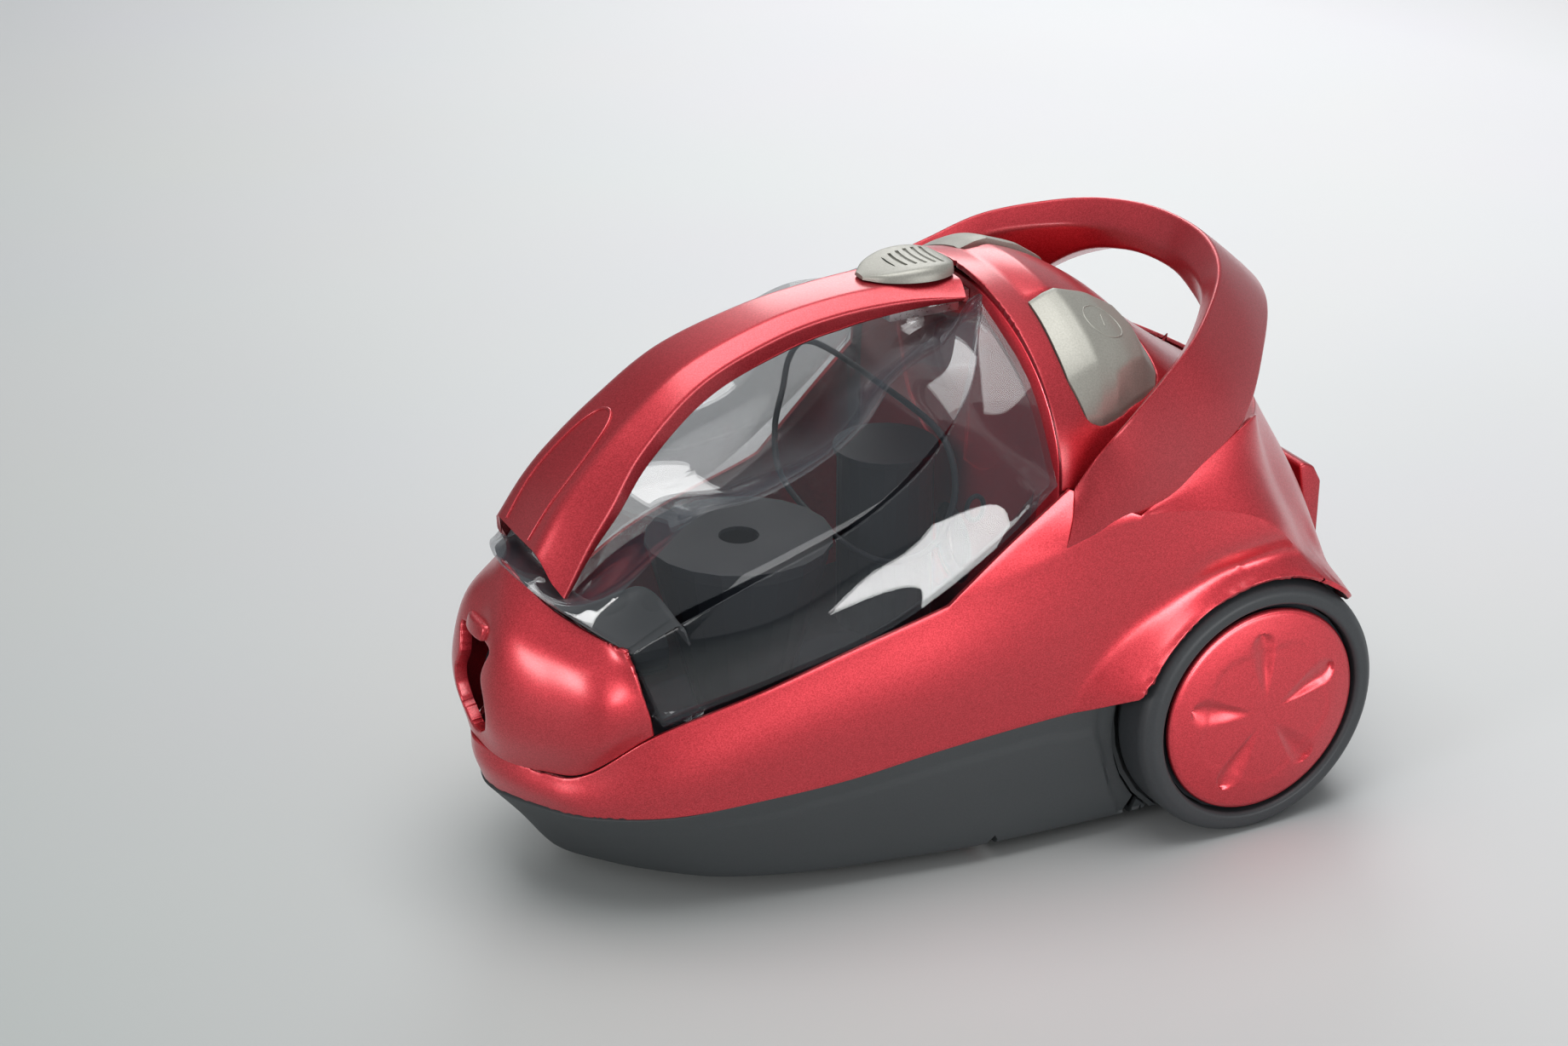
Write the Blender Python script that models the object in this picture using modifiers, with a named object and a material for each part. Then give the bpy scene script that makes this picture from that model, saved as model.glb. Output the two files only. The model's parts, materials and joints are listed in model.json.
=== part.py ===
"""Canister vacuum cleaner with a clear lift-off tank, in metres.

+X is the right-hand wheel, -Y the nose and +Z up. The origin is on the floor under the middle of
the machine. Control points are in millimetres and are scaled once, by MM, when a mesh is made.
"""

import math

import bmesh
import bpy
import numpy as np
from mathutils import Matrix, Vector

MM = 0.001

# Driving dimensions, in millimetres
WIDTH = 260.0
WALL = 2.4
GAP = 0.5
NOSE_DROP = 1.5
STEEPEST = 0.55
AXLE_Y, AXLE_Z = 140.0, 68.0
WHEEL_RADIUS = AXLE_Z
WHEEL_OUTER_X = WIDTH / 2
ARCH_RADIUS = WHEEL_RADIUS + 4.5
ARCH_PLANE_Y = 30.0
WHEEL_CENTRE_X = 113.0
LINER_X = 91.5
AXLE_RADIUS = 4.5
CASTOR_Y, CASTOR_TRAIL, CASTOR_RADIUS = -112.0, 8.0, 14.0
SOCKET_Z, SOCKET_RADIUS = 104.0, 19.0
TANK_INLET_Z = 108.0
MOTOR_Z = 128.0
HOUSING_RADIUS, SHROUD_RADIUS, CAN_RADIUS = 66.0, 56.0, 40.0
REEL_Y, REEL_RADIUS, REEL_LOW, REEL_HIGH = 138.0, 76.0, 15.0, 43.0
OUTLET_RADIUS = 20.0
DOOR_AXIS_Y, DOOR_AXIS_Z = 226.0, 103.0
BULKHEAD_Y = 34.0
FRAME_Z = 219.0
ROD_X, ROD_Y = -75.0, 74.0
BUTTON_Z = 278.5

MODEL = "canister_vacuum_cleaner"


# ---------------------------------------------------------------- helpers

def clear_scene():
    for obj in list(bpy.data.objects):
        bpy.data.objects.remove(obj, do_unlink=True)


def collection(name):
    made = bpy.data.collections.new(name)
    bpy.context.scene.collection.children.link(made)
    return made


def material(name, colour, roughness, metallic=0.0, alpha=1.0):
    made = bpy.data.materials.new(name)
    made.use_nodes = True
    shader = made.node_tree.nodes["Principled BSDF"]
    shader.inputs["Base Color"].default_value = (*colour, 1.0)
    shader.inputs["Roughness"].default_value = roughness
    shader.inputs["Metallic"].default_value = metallic
    shader.inputs["Alpha"].default_value = alpha
    made.diffuse_color = (*colour, alpha)
    return made


def smooth(points, steps):
    """Catmull-Rom along the first axis, mirrored past any end that lies on the plane X = 0."""
    points = np.asarray(points, float)
    flip = np.array([-1.0, 1.0, 1.0])
    before = 2 * points[0] - points[1]
    after = 2 * points[-1] - points[-2]
    if points.ndim == 2 and abs(points[0, 0]) < 1e-9:
        before = points[1] * flip
    if points.ndim == 2 and abs(points[-1, 0]) < 1e-9:
        after = points[-2] * flip
    full = np.concatenate([before[None], points, after[None]])
    slope = (full[2:] - full[:-2]) / 2
    out = []
    for i in range(len(points) - 1):
        for k in range(steps):
            s = k / steps
            out.append(
                (2 * s**3 - 3 * s**2 + 1) * points[i]
                + (s**3 - 2 * s**2 + s) * slope[i]
                + (3 * s**2 - 2 * s**3) * points[i + 1]
                + (s**3 - s**2) * slope[i + 1]
            )
    out.append(points[-1])
    return np.array(out)


def runs(*parts, steps=2):
    """A line of several smooth runs that meet in corners."""
    lines = [smooth(part, steps) for part in parts]
    return np.concatenate([line[:-1] for line in lines[:-1]] + [lines[-1]])


def skin(rows, along=2, across=2):
    """A smooth surface through rows of control points."""
    return smooth([smooth(row, along) for row in rows], across)


def add_grid(mesh, grid):
    verts = [[mesh.verts.new(point * MM) for point in row] for row in grid]
    for low, high in zip(verts, verts[1:]):
        for a, b, c, d in zip(low, low[1:], high[1:], high):
            mesh.faces.new((a, b, c, d))


def finish_mesh(name, mesh, slot, home=None, smooth_angle=40):
    data = bpy.data.meshes.new(name)
    mesh.to_mesh(data)
    mesh.free()
    obj = bpy.data.objects.new(name, data)
    (home or parts).objects.link(obj)
    if slot:
        data.materials.append(slot)
    for face in data.polygons:
        face.use_smooth = True
    data.set_sharp_from_angle(angle=math.radians(smooth_angle))
    return obj


def modifier(obj, kind, name, **settings):
    made = obj.modifiers.new(name, kind)
    for key, value in settings.items():
        setattr(made, key, value)
    return made


def mirror(obj):
    modifier(obj, "MIRROR", "other_half", use_axis=(True, False, False), merge_threshold=1e-5)


def facing_out(mesh, inside):
    """Turns an open surface so that its faces point away from a point inside."""
    inside = Vector(inside) * MM
    mesh.normal_update()
    outward = sum(face.calc_area() * face.normal.dot(face.calc_center_median() - inside)
                  for face in mesh.faces)
    if outward < 0:
        bmesh.ops.reverse_faces(mesh, faces=mesh.faces[:])


def thicken(mesh, wall):
    """Closes an open surface into a wall: a second skin inside it, joined round the edges."""
    mesh.normal_update()
    outer, rim = mesh.faces[:], [edge for edge in mesh.edges if edge.is_boundary]
    inner = {}
    for vert in mesh.verts[:]:
        lean = min(face.normal.dot(vert.normal) for face in vert.link_faces)
        depth = wall * MM / max(STEEPEST, lean)
        inner[vert] = mesh.verts.new(vert.co - vert.normal * depth)
    for face in outer:
        mesh.faces.new([inner[vert] for vert in reversed(face.verts)])
    for edge in rim:
        a, b = edge.verts
        mesh.faces.new((a, b, inner[b], inner[a]))
    bmesh.ops.recalc_face_normals(mesh, faces=mesh.faces[:])


def shell(name, grids, slot, inside, wall=WALL):
    """Half of an open surface, as grids that share edges, mirrored and thickened inwards."""
    mesh = bmesh.new()
    for grid in grids:
        add_grid(mesh, grid)
    bmesh.ops.mirror(mesh, geom=mesh.verts[:] + mesh.edges[:] + mesh.faces[:], axis="X",
                     merge_dist=1e-5)
    bmesh.ops.remove_doubles(mesh, verts=mesh.verts[:], dist=2e-5)
    bmesh.ops.dissolve_degenerate(mesh, edges=mesh.edges[:], dist=1e-6)
    bmesh.ops.recalc_face_normals(mesh, faces=mesh.faces[:])
    facing_out(mesh, inside)
    thicken(mesh, wall)
    return finish_mesh(name, mesh, slot)


def rings(name, sections, slot, cap_first=True, cap_last=True, mirrored=False, home=None):
    """A solid through closed sections, each a ring of the same number of points."""
    mesh = bmesh.new()
    verts = [[mesh.verts.new(np.array(point) * MM) for point in ring] for ring in sections]
    for low, high in zip(verts, verts[1:]):
        count = len(low)
        for i in range(count):
            j = (i + 1) % count
            mesh.faces.new((low[i], low[j], high[j], high[i]))
    if cap_first:
        mesh.faces.new(verts[0])
    if cap_last:
        mesh.faces.new(verts[-1])
    bmesh.ops.recalc_face_normals(mesh, faces=mesh.faces[:])
    if mirrored:
        facing_out(mesh, np.mean([np.mean(ring, axis=0) for ring in sections], axis=0))
    obj = finish_mesh(name, mesh, slot, home)
    if mirrored:
        mirror(obj)
    return obj


def box(name, low, high, slot, bevel=0.0, home=None):
    mesh = bmesh.new()
    bmesh.ops.create_cube(mesh, size=1.0)
    low, high = np.array(low) * MM, np.array(high) * MM
    for vert in mesh.verts:
        vert.co = (low + high) / 2 + np.array(vert.co) * (high - low)
    obj = finish_mesh(name, mesh, slot, home)
    if bevel:
        modifier(obj, "BEVEL", "edges", width=bevel * MM, segments=1, limit_method="ANGLE")
    return obj


def turned(name, profile, centre, axis, slot, steps=24, home=None):
    """A ring or disc: a closed profile of (radius, height) turned about an axis through centre."""
    centre = np.array(centre, float)
    sides = {"X": ((0, 1, 0), (0, 0, 1), (1, 0, 0)),
             "Y": ((0, 0, 1), (1, 0, 0), (0, 1, 0)),
             "Z": ((1, 0, 0), (0, 1, 0), (0, 0, 1))}[axis]
    first, second, up = (np.array(side, float) for side in sides)
    mesh = bmesh.new()
    columns = []
    for k in range(steps):
        turn = 2 * math.pi * k / steps
        out = first * math.cos(turn) + second * math.sin(turn)
        columns.append([mesh.verts.new((centre + out * r + up * h) * MM) for r, h in profile])
    count = len(profile)
    for k in range(steps):
        near, far = columns[k], columns[(k + 1) % steps]
        for i in range(count):
            j = (i + 1) % count
            mesh.faces.new((near[i], far[i], far[j], near[j]))
    bmesh.ops.remove_doubles(mesh, verts=mesh.verts[:], dist=1e-6)
    bmesh.ops.dissolve_degenerate(mesh, edges=mesh.edges[:], dist=1e-7)
    bmesh.ops.recalc_face_normals(mesh, faces=mesh.faces[:])
    return finish_mesh(name, mesh, slot, home, 30)


def disc(name, radius, low, high, centre, axis, slot, steps=24, home=None):
    mesh = bmesh.new()
    bmesh.ops.create_cone(mesh, cap_ends=True, segments=steps, radius1=radius * MM,
                          radius2=radius * MM, depth=(high - low) * MM)
    middle = (low + high) / 2
    for vert in mesh.verts:
        x, y, z = np.array(vert.co) / MM
        z += middle
        place = {"X": (z, x, y), "Y": (y, z, x), "Z": (x, y, z)}[axis]
        vert.co = (np.array(centre) + np.array(place)) * MM
    return finish_mesh(name, mesh, slot, home)


def prism(name, outline, low, high, axis, slot=None, home=None):
    """An outline in the two other axes, extruded along X, Y or Z."""
    order = {"X": lambda a, b, h: (h, a, b), "Y": lambda a, b, h: (a, h, b),
             "Z": lambda a, b, h: (a, b, h)}[axis]
    sections = [[order(a, b, h) for a, b in outline] for h in (low, high)]
    return rings(name, sections, slot, home=home)


def cut(obj, cutter, operation="DIFFERENCE"):
    cutter.hide_render = True
    cutter.display_type = "WIRE"
    modifier(obj, "BOOLEAN", "cut_" + cutter.name, object=cutter, operation=operation,
             solver="EXACT")


def pivot(obj, place):
    """Moves an object's origin onto its joint's axis, and leaves its shape where it is."""
    place = Vector(place) * MM
    obj.data.transform(Matrix.Translation(-place))
    obj.location = place


def arc(centre, radius, start, end, count):
    turns = np.radians(np.linspace(start, end, count))
    return [(centre[0] + radius * math.cos(t), centre[1] + radius * math.sin(t)) for t in turns]


clear_scene()
parts = collection(MODEL)
tools = collection("cutters")

RED = material("satin_red", (0.42, 0.018, 0.03), 0.32, 0.55)
BLACK = material("charcoal_plastic", (0.035, 0.038, 0.042), 0.62)
SILVER = material("silver_grey", (0.42, 0.41, 0.37), 0.38, 0.75)
SMOKE = material("smoked_clear", (0.30, 0.36, 0.42), 0.05, 0.0, 0.35)
RUBBER = material("rubber", (0.02, 0.02, 0.022), 0.75)
DARK = material("dark_plastic", (0.02, 0.022, 0.025), 0.45)
STEEL = material("steel", (0.55, 0.55, 0.56), 0.3, 1.0)
FILTER = material("filter_pleats", (0.75, 0.74, 0.70), 0.9)

# ---------------------------------------------------------------- level lines of the hull

# Right half, from the nose round to the back, as (x, y, z)
KEEL = [(0, -187, 13), (29, -168, 12), (53, -143, 12), (67, -121, 12), (79, -86, 12), (87, -44, 12),
        (94, 0, 12), (97, 47, 12), (99, 90, 12), (99, 140, 12), (97, 190, 12), (84, 212, 13),
        (46, 222, 14), (0, 224, 14)]
PARTING = [(0, -219, 56), (42, -202, 57), (64, -181, 58), (80, -152, 60), (90, -113, 64),
           (95, -71, 67), (99, -27, 73), (103, 25, 78), (107, 70, 81), (108, 140, 82),
           (105, 188, 82), (88, 206, 82), (50, 220, 82), (0, 224, 82)]
BAND_MIDDLE = [(0, -223, 68), (42, -205, 66), (63, -185, 68), (82, -155, 80), (95, -113, 94),
               (101, -71, 103), (105, -26, 113), (110, 26, 125), (114, 66, 134), (126, 140, 132),
               (119, 184, 106), (93, 204, 98), (53, 219, 97), (0, 223, 97)]
BAND_TOP = [(0, -224, 79), (39, -204, 75), (56, -189, 79), (74, -162, 101), (92, -114, 122),
            (98, -73, 136), (102, -25, 150), (112, 28, 171), (121, 66, 186), (126, 130, 174),
            (121, 184, 122), (94, 202, 112), (54, 217, 112), (0, 221, 112)]
TANK_CORNER = [(102, -25, 150), (105, 3, 175), (109, 34, 201)]
SHOULDER_MIDDLE = [(121, 66, 186), (114, 126, 196), (98, 163, 170), (74, 190, 160),
                   (40, 207, 153), (0, 212, 150)]
SHOULDER_TOP = [(121, 66, 186), (106, 133, 214), (86, 152, 208), (60, 170, 205), (30, 180, 203),
                (0, 184, 202)]
CAP_ROWS = [
    [(0, -223, 81), (22, -218, 78), (40, -204, 77), (56.5, -189.5, 81), (73, -163.5, 102)],
    [(0, -224, 100), (26, -223, 98), (52, -206, 98), (69, -188, 102), (76, -166, 112)],
    [(0, -224, 118), (27, -222.5, 118), (54, -205, 118), (71, -188, 120), (76, -169, 123)],
    [(0, -216, 145), (24, -216, 143), (45, -203, 139), (63, -189, 136), (74, -172, 135)],
    [(0, -205, 167), (20, -201, 162), (36, -194, 155), (55, -183, 149), (70, -175, 146)],
]

DECK_EDGE = [(106, 32, 200), (107, 55, 196), (103, 80, 205), (95, 105, 214), (84, 128, 214),
             (68, 152, 208), (46, 168, 204), (28, 176, 202)]
DECK_CREST = [(0, 32, 279), (0, 55, 276), (0, 80, 267), (0, 105, 252), (0, 128, 235),
              (0, 152, 218), (0, 168, 208), (0, 180, 201)]

STRAP_CREST = [(0, -199, 182), (0, -187, 200), (0, -173, 215), (0, -151, 234), (0, -119, 256),
               (0, -77, 270), (0, -41, 276), (0, -5, 278), (0, 25, 277)]
STRAP_EDGE = [(41, -186, 170), (38, -176, 187), (36, -165, 202), (31, -147, 225), (26, -115, 250),
              (22, -75, 264), (21, -40, 270), (24, -5, 272), (31, 21, 272)]
STRAP_DEPTH = [3, 5, 7, 9, 10, 10, 9, 6, 2.5]

HOOP_OUTER_TOP = [(110, 36, 203), (117, 42, 219), (122, 52, 234), (112, 81, 250), (98, 108, 264),
                  (66, 140, 276), (34, 156, 281), (0, 161, 282)]
HOOP_INNER_TOP = [(108, 38, 200), (111, 44, 213), (112, 56, 226), (103, 82, 242), (90, 106, 254),
                  (60, 134, 263), (30, 147, 268), (0, 152, 268)]
HOOP_INNER_LOW = [(109, 36, 180), (109, 57, 193), (109, 77, 200), (103, 97, 209), (94, 118, 218),
                  (62, 138, 246), (30, 146, 257), (0, 150, 259)]
HOOP_OUTER_LOW = [(113, 31, 175), (118, 52, 187), (119, 76, 194), (115, 100, 202), (105, 133, 218),
                  (80, 160, 237), (42, 187, 249), (0, 197, 252)]


# ---------------------------------------------------------------- casing

def wheel_cutters(name, radius, inner):
    """Wheel wells: round over the wheel and in front of it, and straight down behind it."""
    outline = arc((AXLE_Y, AXLE_Z), radius, 0, 230, 33)
    outline += [(outline[-1][0], -20), (outline[0][0], -20)]
    made = []
    for side, label in ((1, "right"), (-1, "left")):
        low, high = sorted((side * inner, side * (WHEEL_OUTER_X + 20)))
        made.append(prism(f"{name}_{label}", outline, low, high, "X", home=tools))
    return made


def spine_of(row):
    """The middle line of a floor, evenly spaced, for the row round the floor's edge."""
    return np.linspace(row[0], row[-1], len(row))


def base_tray():
    """The black lower tray: a solid hull, hollowed, with a well each side for its wheel."""
    lower = [(x * 0.86, y * 0.94 if y < 0 else y - 8 if y > 200 else y, 9) for x, y, z in KEEL]
    middle = [(0.5 * (a[0] + b[0]) + 1.5 * (a[0] > 0), 0.5 * (a[1] + b[1]), 0.5 * (a[2] + b[2]))
              for a, b in zip(KEEL, PARTING)]
    top = [(x, y, z - GAP - NOSE_DROP * max(0.0, -y - 100) / 119) for x, y, z in PARTING]
    rim = skin([lower, KEEL, middle, top], 2, 1)
    obj = shell("base_tray", [np.array([spine_of(rim[0]), rim[0]]), rim], BLACK, (0, 0, 60), wall=2.6)
    for cutter in wheel_cutters("well", ARCH_RADIUS + GAP, LINER_X - 1.4):
        cut(obj, cutter)
    cut(obj, disc("castor_hole", 27.5, -5, 30, (0, CASTOR_Y, 0), "Z", None, 28, tools))
    return obj


def body_shell():
    band = skin([PARTING, BAND_MIDDLE, BAND_TOP], 2, 2)
    top = smooth(BAND_TOP, 2)
    corner = np.array([top[12:15], TANK_CORNER])
    shoulder = smooth([top[16:], smooth(SHOULDER_MIDDLE, 2), smooth(SHOULDER_TOP, 2)], 2)
    obj = shell("body_shell", [band, corner, shoulder], RED, (0, 20, 100))
    for cutter in wheel_cutters("arch", ARCH_RADIUS, LINER_X - 1):
        cut(obj, cutter)
    return obj


def nose_cap():
    obj = shell("nose_cap", [skin(CAP_ROWS, 2, 2)], RED, (0, -150, 115))
    outline = (arc((0, SOCKET_Z), SOCKET_RADIUS + 1, 139, 401, 19)
               + [(16.5, 125), (18.5, 133), (9, 135), (-9, 135), (-18.5, 133), (-16.5, 125)])
    cut(obj, prism("hose_opening", outline, -245, -205, "Y", home=tools))
    cut(obj, box("release_tab", (-10, -220, 137.5), (10, -213, 145), None, 2, tools), "UNION")
    return obj


def deck_height(x, y):
    """Height of the pedal deck at (x, y)."""
    rows = np.array(DECK_EDGE)
    crest = np.array(DECK_CREST)
    half = np.interp(y, rows[:, 1], rows[:, 0])
    low = np.interp(y, rows[:, 1], rows[:, 2])
    high = np.interp(y, crest[:, 1], crest[:, 2])
    return low + (high - low) * math.sqrt(max(0.0, 1 - (x / half) ** 2))


def deck_rows():
    edge, crest = smooth(DECK_EDGE, 1), np.array(DECK_CREST, float)
    rows = []
    for step in range(7):
        turn = math.radians(90 * step / 6)
        rows.append(edge * (1, 1, 0) * (math.cos(turn), 1, 0)
                    + np.outer(edge[:, 2] + (crest[:, 2] - edge[:, 2]) * math.sin(turn), (0, 0, 1)))
    rows = np.array(rows)
    blend = np.linspace(0, 1, len(rows))[:, None]
    rows[:, :, 1] = edge[:, 1] * (1 - blend) + crest[:, 1] * blend
    return rows


PEDAL = [  # front edge, ridge and back edge of the right pedal, inner end to outer, as (x, y)
    [(40, 50), (68, 47), (92, 44), (101, 51)],
    [(30, 64), (62, 66), (90, 66), (99, 66)],
    [(24, 76), (55, 92), (80, 98), (92, 88)],
]
PEDAL_RISE = [[3, 4, 4, 1], [5, 9, 9, 2], [4, 7, 7, 1]]


def pedal(name, side):
    """A moulded foot pedal that follows the deck and stands a few millimetres proud."""
    plan = np.array([[(x, y, 0) for x, y in row] for row in PEDAL], float)
    rise = np.array(PEDAL_RISE, float)
    plan[:, :, 2] = rise
    fine = smooth(np.swapaxes(smooth(plan, 2), 0, 1), 2)
    fine = np.swapaxes(fine, 0, 1)
    top = fine.copy()
    low = fine.copy()
    for i in range(fine.shape[0]):
        for j in range(fine.shape[1]):
            ground = deck_height(fine[i, j, 0], fine[i, j, 1])
            top[i, j, 2] = ground + fine[i, j, 2]
            low[i, j, 2] = ground - 9
    top[:, :, 0] *= side
    low[:, :, 0] *= side
    return block(name, top, low, SILVER)


def block(name, top, low, slot, home=None):
    """A closed solid between two grids of the same size."""
    mesh = bmesh.new()
    add_grid(mesh, top)
    add_grid(mesh, low)
    for pick in (lambda g: g[0], lambda g: g[-1], lambda g: g[:, 0], lambda g: g[:, -1]):
        add_grid(mesh, np.array([pick(top), pick(low)]))
    bmesh.ops.remove_doubles(mesh, verts=mesh.verts[:], dist=1e-6)
    bmesh.ops.recalc_face_normals(mesh, faces=mesh.faces[:])
    return finish_mesh(name, mesh, slot, home)


def pedal_window(name, side):
    """The hole in the deck round one pedal."""
    plan = np.array(PEDAL, float)
    front, back = smooth(plan[0], 2), smooth(plan[2], 2)
    inner, outer = smooth(plan[:, 0], 2), smooth(plan[:, -1], 2)
    outline = np.concatenate([front[:-1], outer[:-1], back[::-1][:-1], inner[::-1][:-1]])
    middle = outline.mean(axis=0)
    out = outline - middle
    outline = middle + out * (1 + 1.2 / np.linalg.norm(out, axis=1))[:, None]
    outline[:, 0] *= side
    return prism(name, [tuple(point) for point in outline], 190, 300, "Z", home=tools)


def pedal_deck():
    obj = shell("pedal_deck", [deck_rows()], RED, (0, 100, 150))
    cut(obj, pedal_window("window_right", 1))
    cut(obj, pedal_window("window_left", -1))
    return obj


def carry_hoop():
    lines = [smooth(line, 2) for line in
             (HOOP_OUTER_TOP, HOOP_INNER_TOP, HOOP_INNER_LOW, HOOP_OUTER_LOW)]
    bulge = (lines[0] + lines[3]) / 2 + np.array([1.5, 0.5, 0])
    bulge[-1, 0] = 0
    sections = [list(section) for section in zip(*lines, bulge)]
    return rings("carry_hoop", sections, RED, cap_last=False, mirrored=True)


# ---------------------------------------------------------------- tank

def tank_rows():
    """Rows of the tank wall from its floor up to the crease, each round from front to back."""
    floor = [[(0, -150, 48), (40, -140, 48), (60, -118, 48)],
             [(60, -118, 48), (70, -80, 48), (76, -30, 48), (76, 10, 48), (72, 22, 48)],
             [(72, 22, 48), (36, 24, 48), (0, 24, 48)]]
    wall = [[(0, -186, 100), (40, -172, 100), (66, -150, 100)],
            [(66, -150, 100), (82, -104, 108), (88, -50, 118), (90, 0, 130), (90, 24, 140)],
            [(90, 24, 140), (45, 25, 140), (0, 25, 140)]]
    shoulder = [[(0, -194, 140), (32, -182, 132), (64, -156, 103)],
                [(64, -156, 103), (84, -110, 121), (90, -50, 140), (94, 2, 172), (98, 25, 196)],
                [(98, 25, 196), (45, 26, 196), (0, 26, 196)]]
    return floor, wall, shoulder


def ring_row(parts_of_row):
    return runs(*parts_of_row, steps=3)


TANK_TOP = [[(0, -198, 165), (36, -187, 154), (67, -171, 143)],
            [(67, -171, 143), (85, -120, 173), (91, -60, 199), (81, -12, 232), (31, 29, 269)],
            [(31, 29, 269), (22, 29, 260), (0, 29, 254)]]
TANK_RIM = [[(0, -197, 150), (36, -185, 142), (73, -158, 105)],
            [(73, -158, 105), (92.5, -106, 128), (99.2, -50, 146), (104.5, 0, 178), (106, 29, 203)],
            [(106, 29, 203), (50, 29, 210), (0, 29, 212)]]
TANK_SIDE = [[(0, -198, 158), (36, -187, 149), (72.4, -166, 127)],
             [(72.4, -166, 127), (93, -114, 150), (98, -56, 174), (97, -5, 206), (78, 29, 244)],
             [(78, 29, 244), (38, 29, 247), (0, 29, 248)]]


def tank_shell():
    floor, wall, shoulder = tank_rows()
    rows = [ring_row(row) for row in (floor, wall, shoulder, TANK_RIM, TANK_SIDE, TANK_TOP)]
    grid = np.array([spine_of(rows[0])] + rows)
    obj = shell("tank_shell", [grid], SMOKE, (0, -60, 120), wall=2.2)
    cut(obj, disc("tank_inlet_hole", 16, -230, -150, (0, 0, TANK_INLET_Z), "Y", None, 24, tools))
    cut(obj, disc("tank_outlet_hole", OUTLET_RADIUS, 15, 45, (0, 0, MOTOR_Z), "Y", None, 24, tools))
    return obj


LEAF_ROWS = [
    [(70, -174, 148), (77, -153, 163), (84, -130, 174), (89, -100, 186), (91, -60, 203),
     (86, -25, 227), (74, 0, 249), (34, 26, 273.5)],
    [(55, -186, 155), (64, -166, 180), (68, -136, 207), (77, -100, 217), (75, -60, 236),
     (61, -30, 256), (49, 0, 260), (26, 25, 268.5)],
    [(38, -197, 162), (44, -181, 167), (50, -142, 198), (54, -104, 203), (52, -64, 216),
     (46, -34, 240), (32, 0, 253), (18, 25, 258)],
    [(18, -204, 167), (22, -190, 171), (24, -148, 192), (27, -106, 196), (26, -66, 208),
     (23, -38, 230), (16, 0, 249), (9, 25, 254)],
    [(0, -206, 169), (0, -192, 172), (0, -150, 190), (0, -106, 194), (0, -66, 206),
     (0, -39, 228), (0, 0, 248), (0, 25, 253)],
]


def tank_lid():
    rows = [[(x, y, z + 0.4) for x, y, z in row] for row in LEAF_ROWS]
    return shell("tank_lid", [skin(rows, 2, 2)], SMOKE, (0, -60, 120), wall=2.2)


def strap_handle():
    crest, edge = smooth(STRAP_CREST, 2), smooth(STRAP_EDGE, 2)
    depth = np.interp(np.linspace(0, 8, len(crest)), range(9), STRAP_DEPTH)
    rows = []
    for share, drop in ((0.0, 0.0), (0.55, 0.22), (1.0, 1.0)):
        line = crest.copy()
        line[:, 0] = edge[:, 0] * share
        line[:, 1] = crest[:, 1] + (edge[:, 1] - crest[:, 1]) * drop
        line[:, 2] = crest[:, 2] + (edge[:, 2] - crest[:, 2]) * drop
        rows.append(line)
    tangent = np.gradient(crest, axis=0)
    normal = np.stack([0 * tangent[:, 0], tangent[:, 2], -tangent[:, 1]], axis=1)
    normal /= np.linalg.norm(normal, axis=1)[:, None]
    under = [row + normal * depth[:, None] for row in rows]
    under[2][:, 0] -= 2
    sections = [list(ring) for ring in zip(rows[0], rows[1], rows[2], under[2], under[1], under[0])]
    obj = open_half("strap_handle", sections, RED)
    cut(obj, box("latch_slot", (-6, -14, 255), (6, 22, 300), None, home=tools))
    return obj


def open_half(name, sections, slot):
    """A solid that is symmetric about X = 0, from half sections that start and end on that plane."""
    mesh = bmesh.new()
    verts = [[mesh.verts.new(np.array(point) * MM) for point in ring] for ring in sections]
    for low, high in zip(verts, verts[1:]):
        for a, b, c, d in zip(low, low[1:], high[1:], high):
            mesh.faces.new((a, b, c, d))
    mesh.faces.new(verts[0])
    mesh.faces.new(verts[-1])
    bmesh.ops.recalc_face_normals(mesh, faces=mesh.faces[:])
    facing_out(mesh, np.mean([np.mean(ring, axis=0) * (0, 1, 1) for ring in sections], axis=0))
    obj = finish_mesh(name, mesh, slot)
    mirror(obj)
    return obj


def latch_button():
    """A ribbed thumb slide on top of the strap, with a stem through the strap."""
    stations = [(-20, 4, 280.5), (-12, 13, 282.5), (0, 19, 284.5), (12, 20, 285), (22, 16, 284),
                (27, 8, 282)]
    sections = []
    for y, half, top in stations:
        sections.append([(0, y, top), (half * 0.6, y, top - 0.6), (half, y, (top + BUTTON_Z) / 2),
                         (half, y, BUTTON_Z), (0, y, BUTTON_Z)])
    obj = open_half("latch_button", sections, SILVER)
    cut(obj, box("button_stem", (-4.5, -6, 261.4), (4.5, 16, BUTTON_Z + 1), None, home=tools), "UNION")
    return obj


# ---------------------------------------------------------------- running gear

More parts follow.
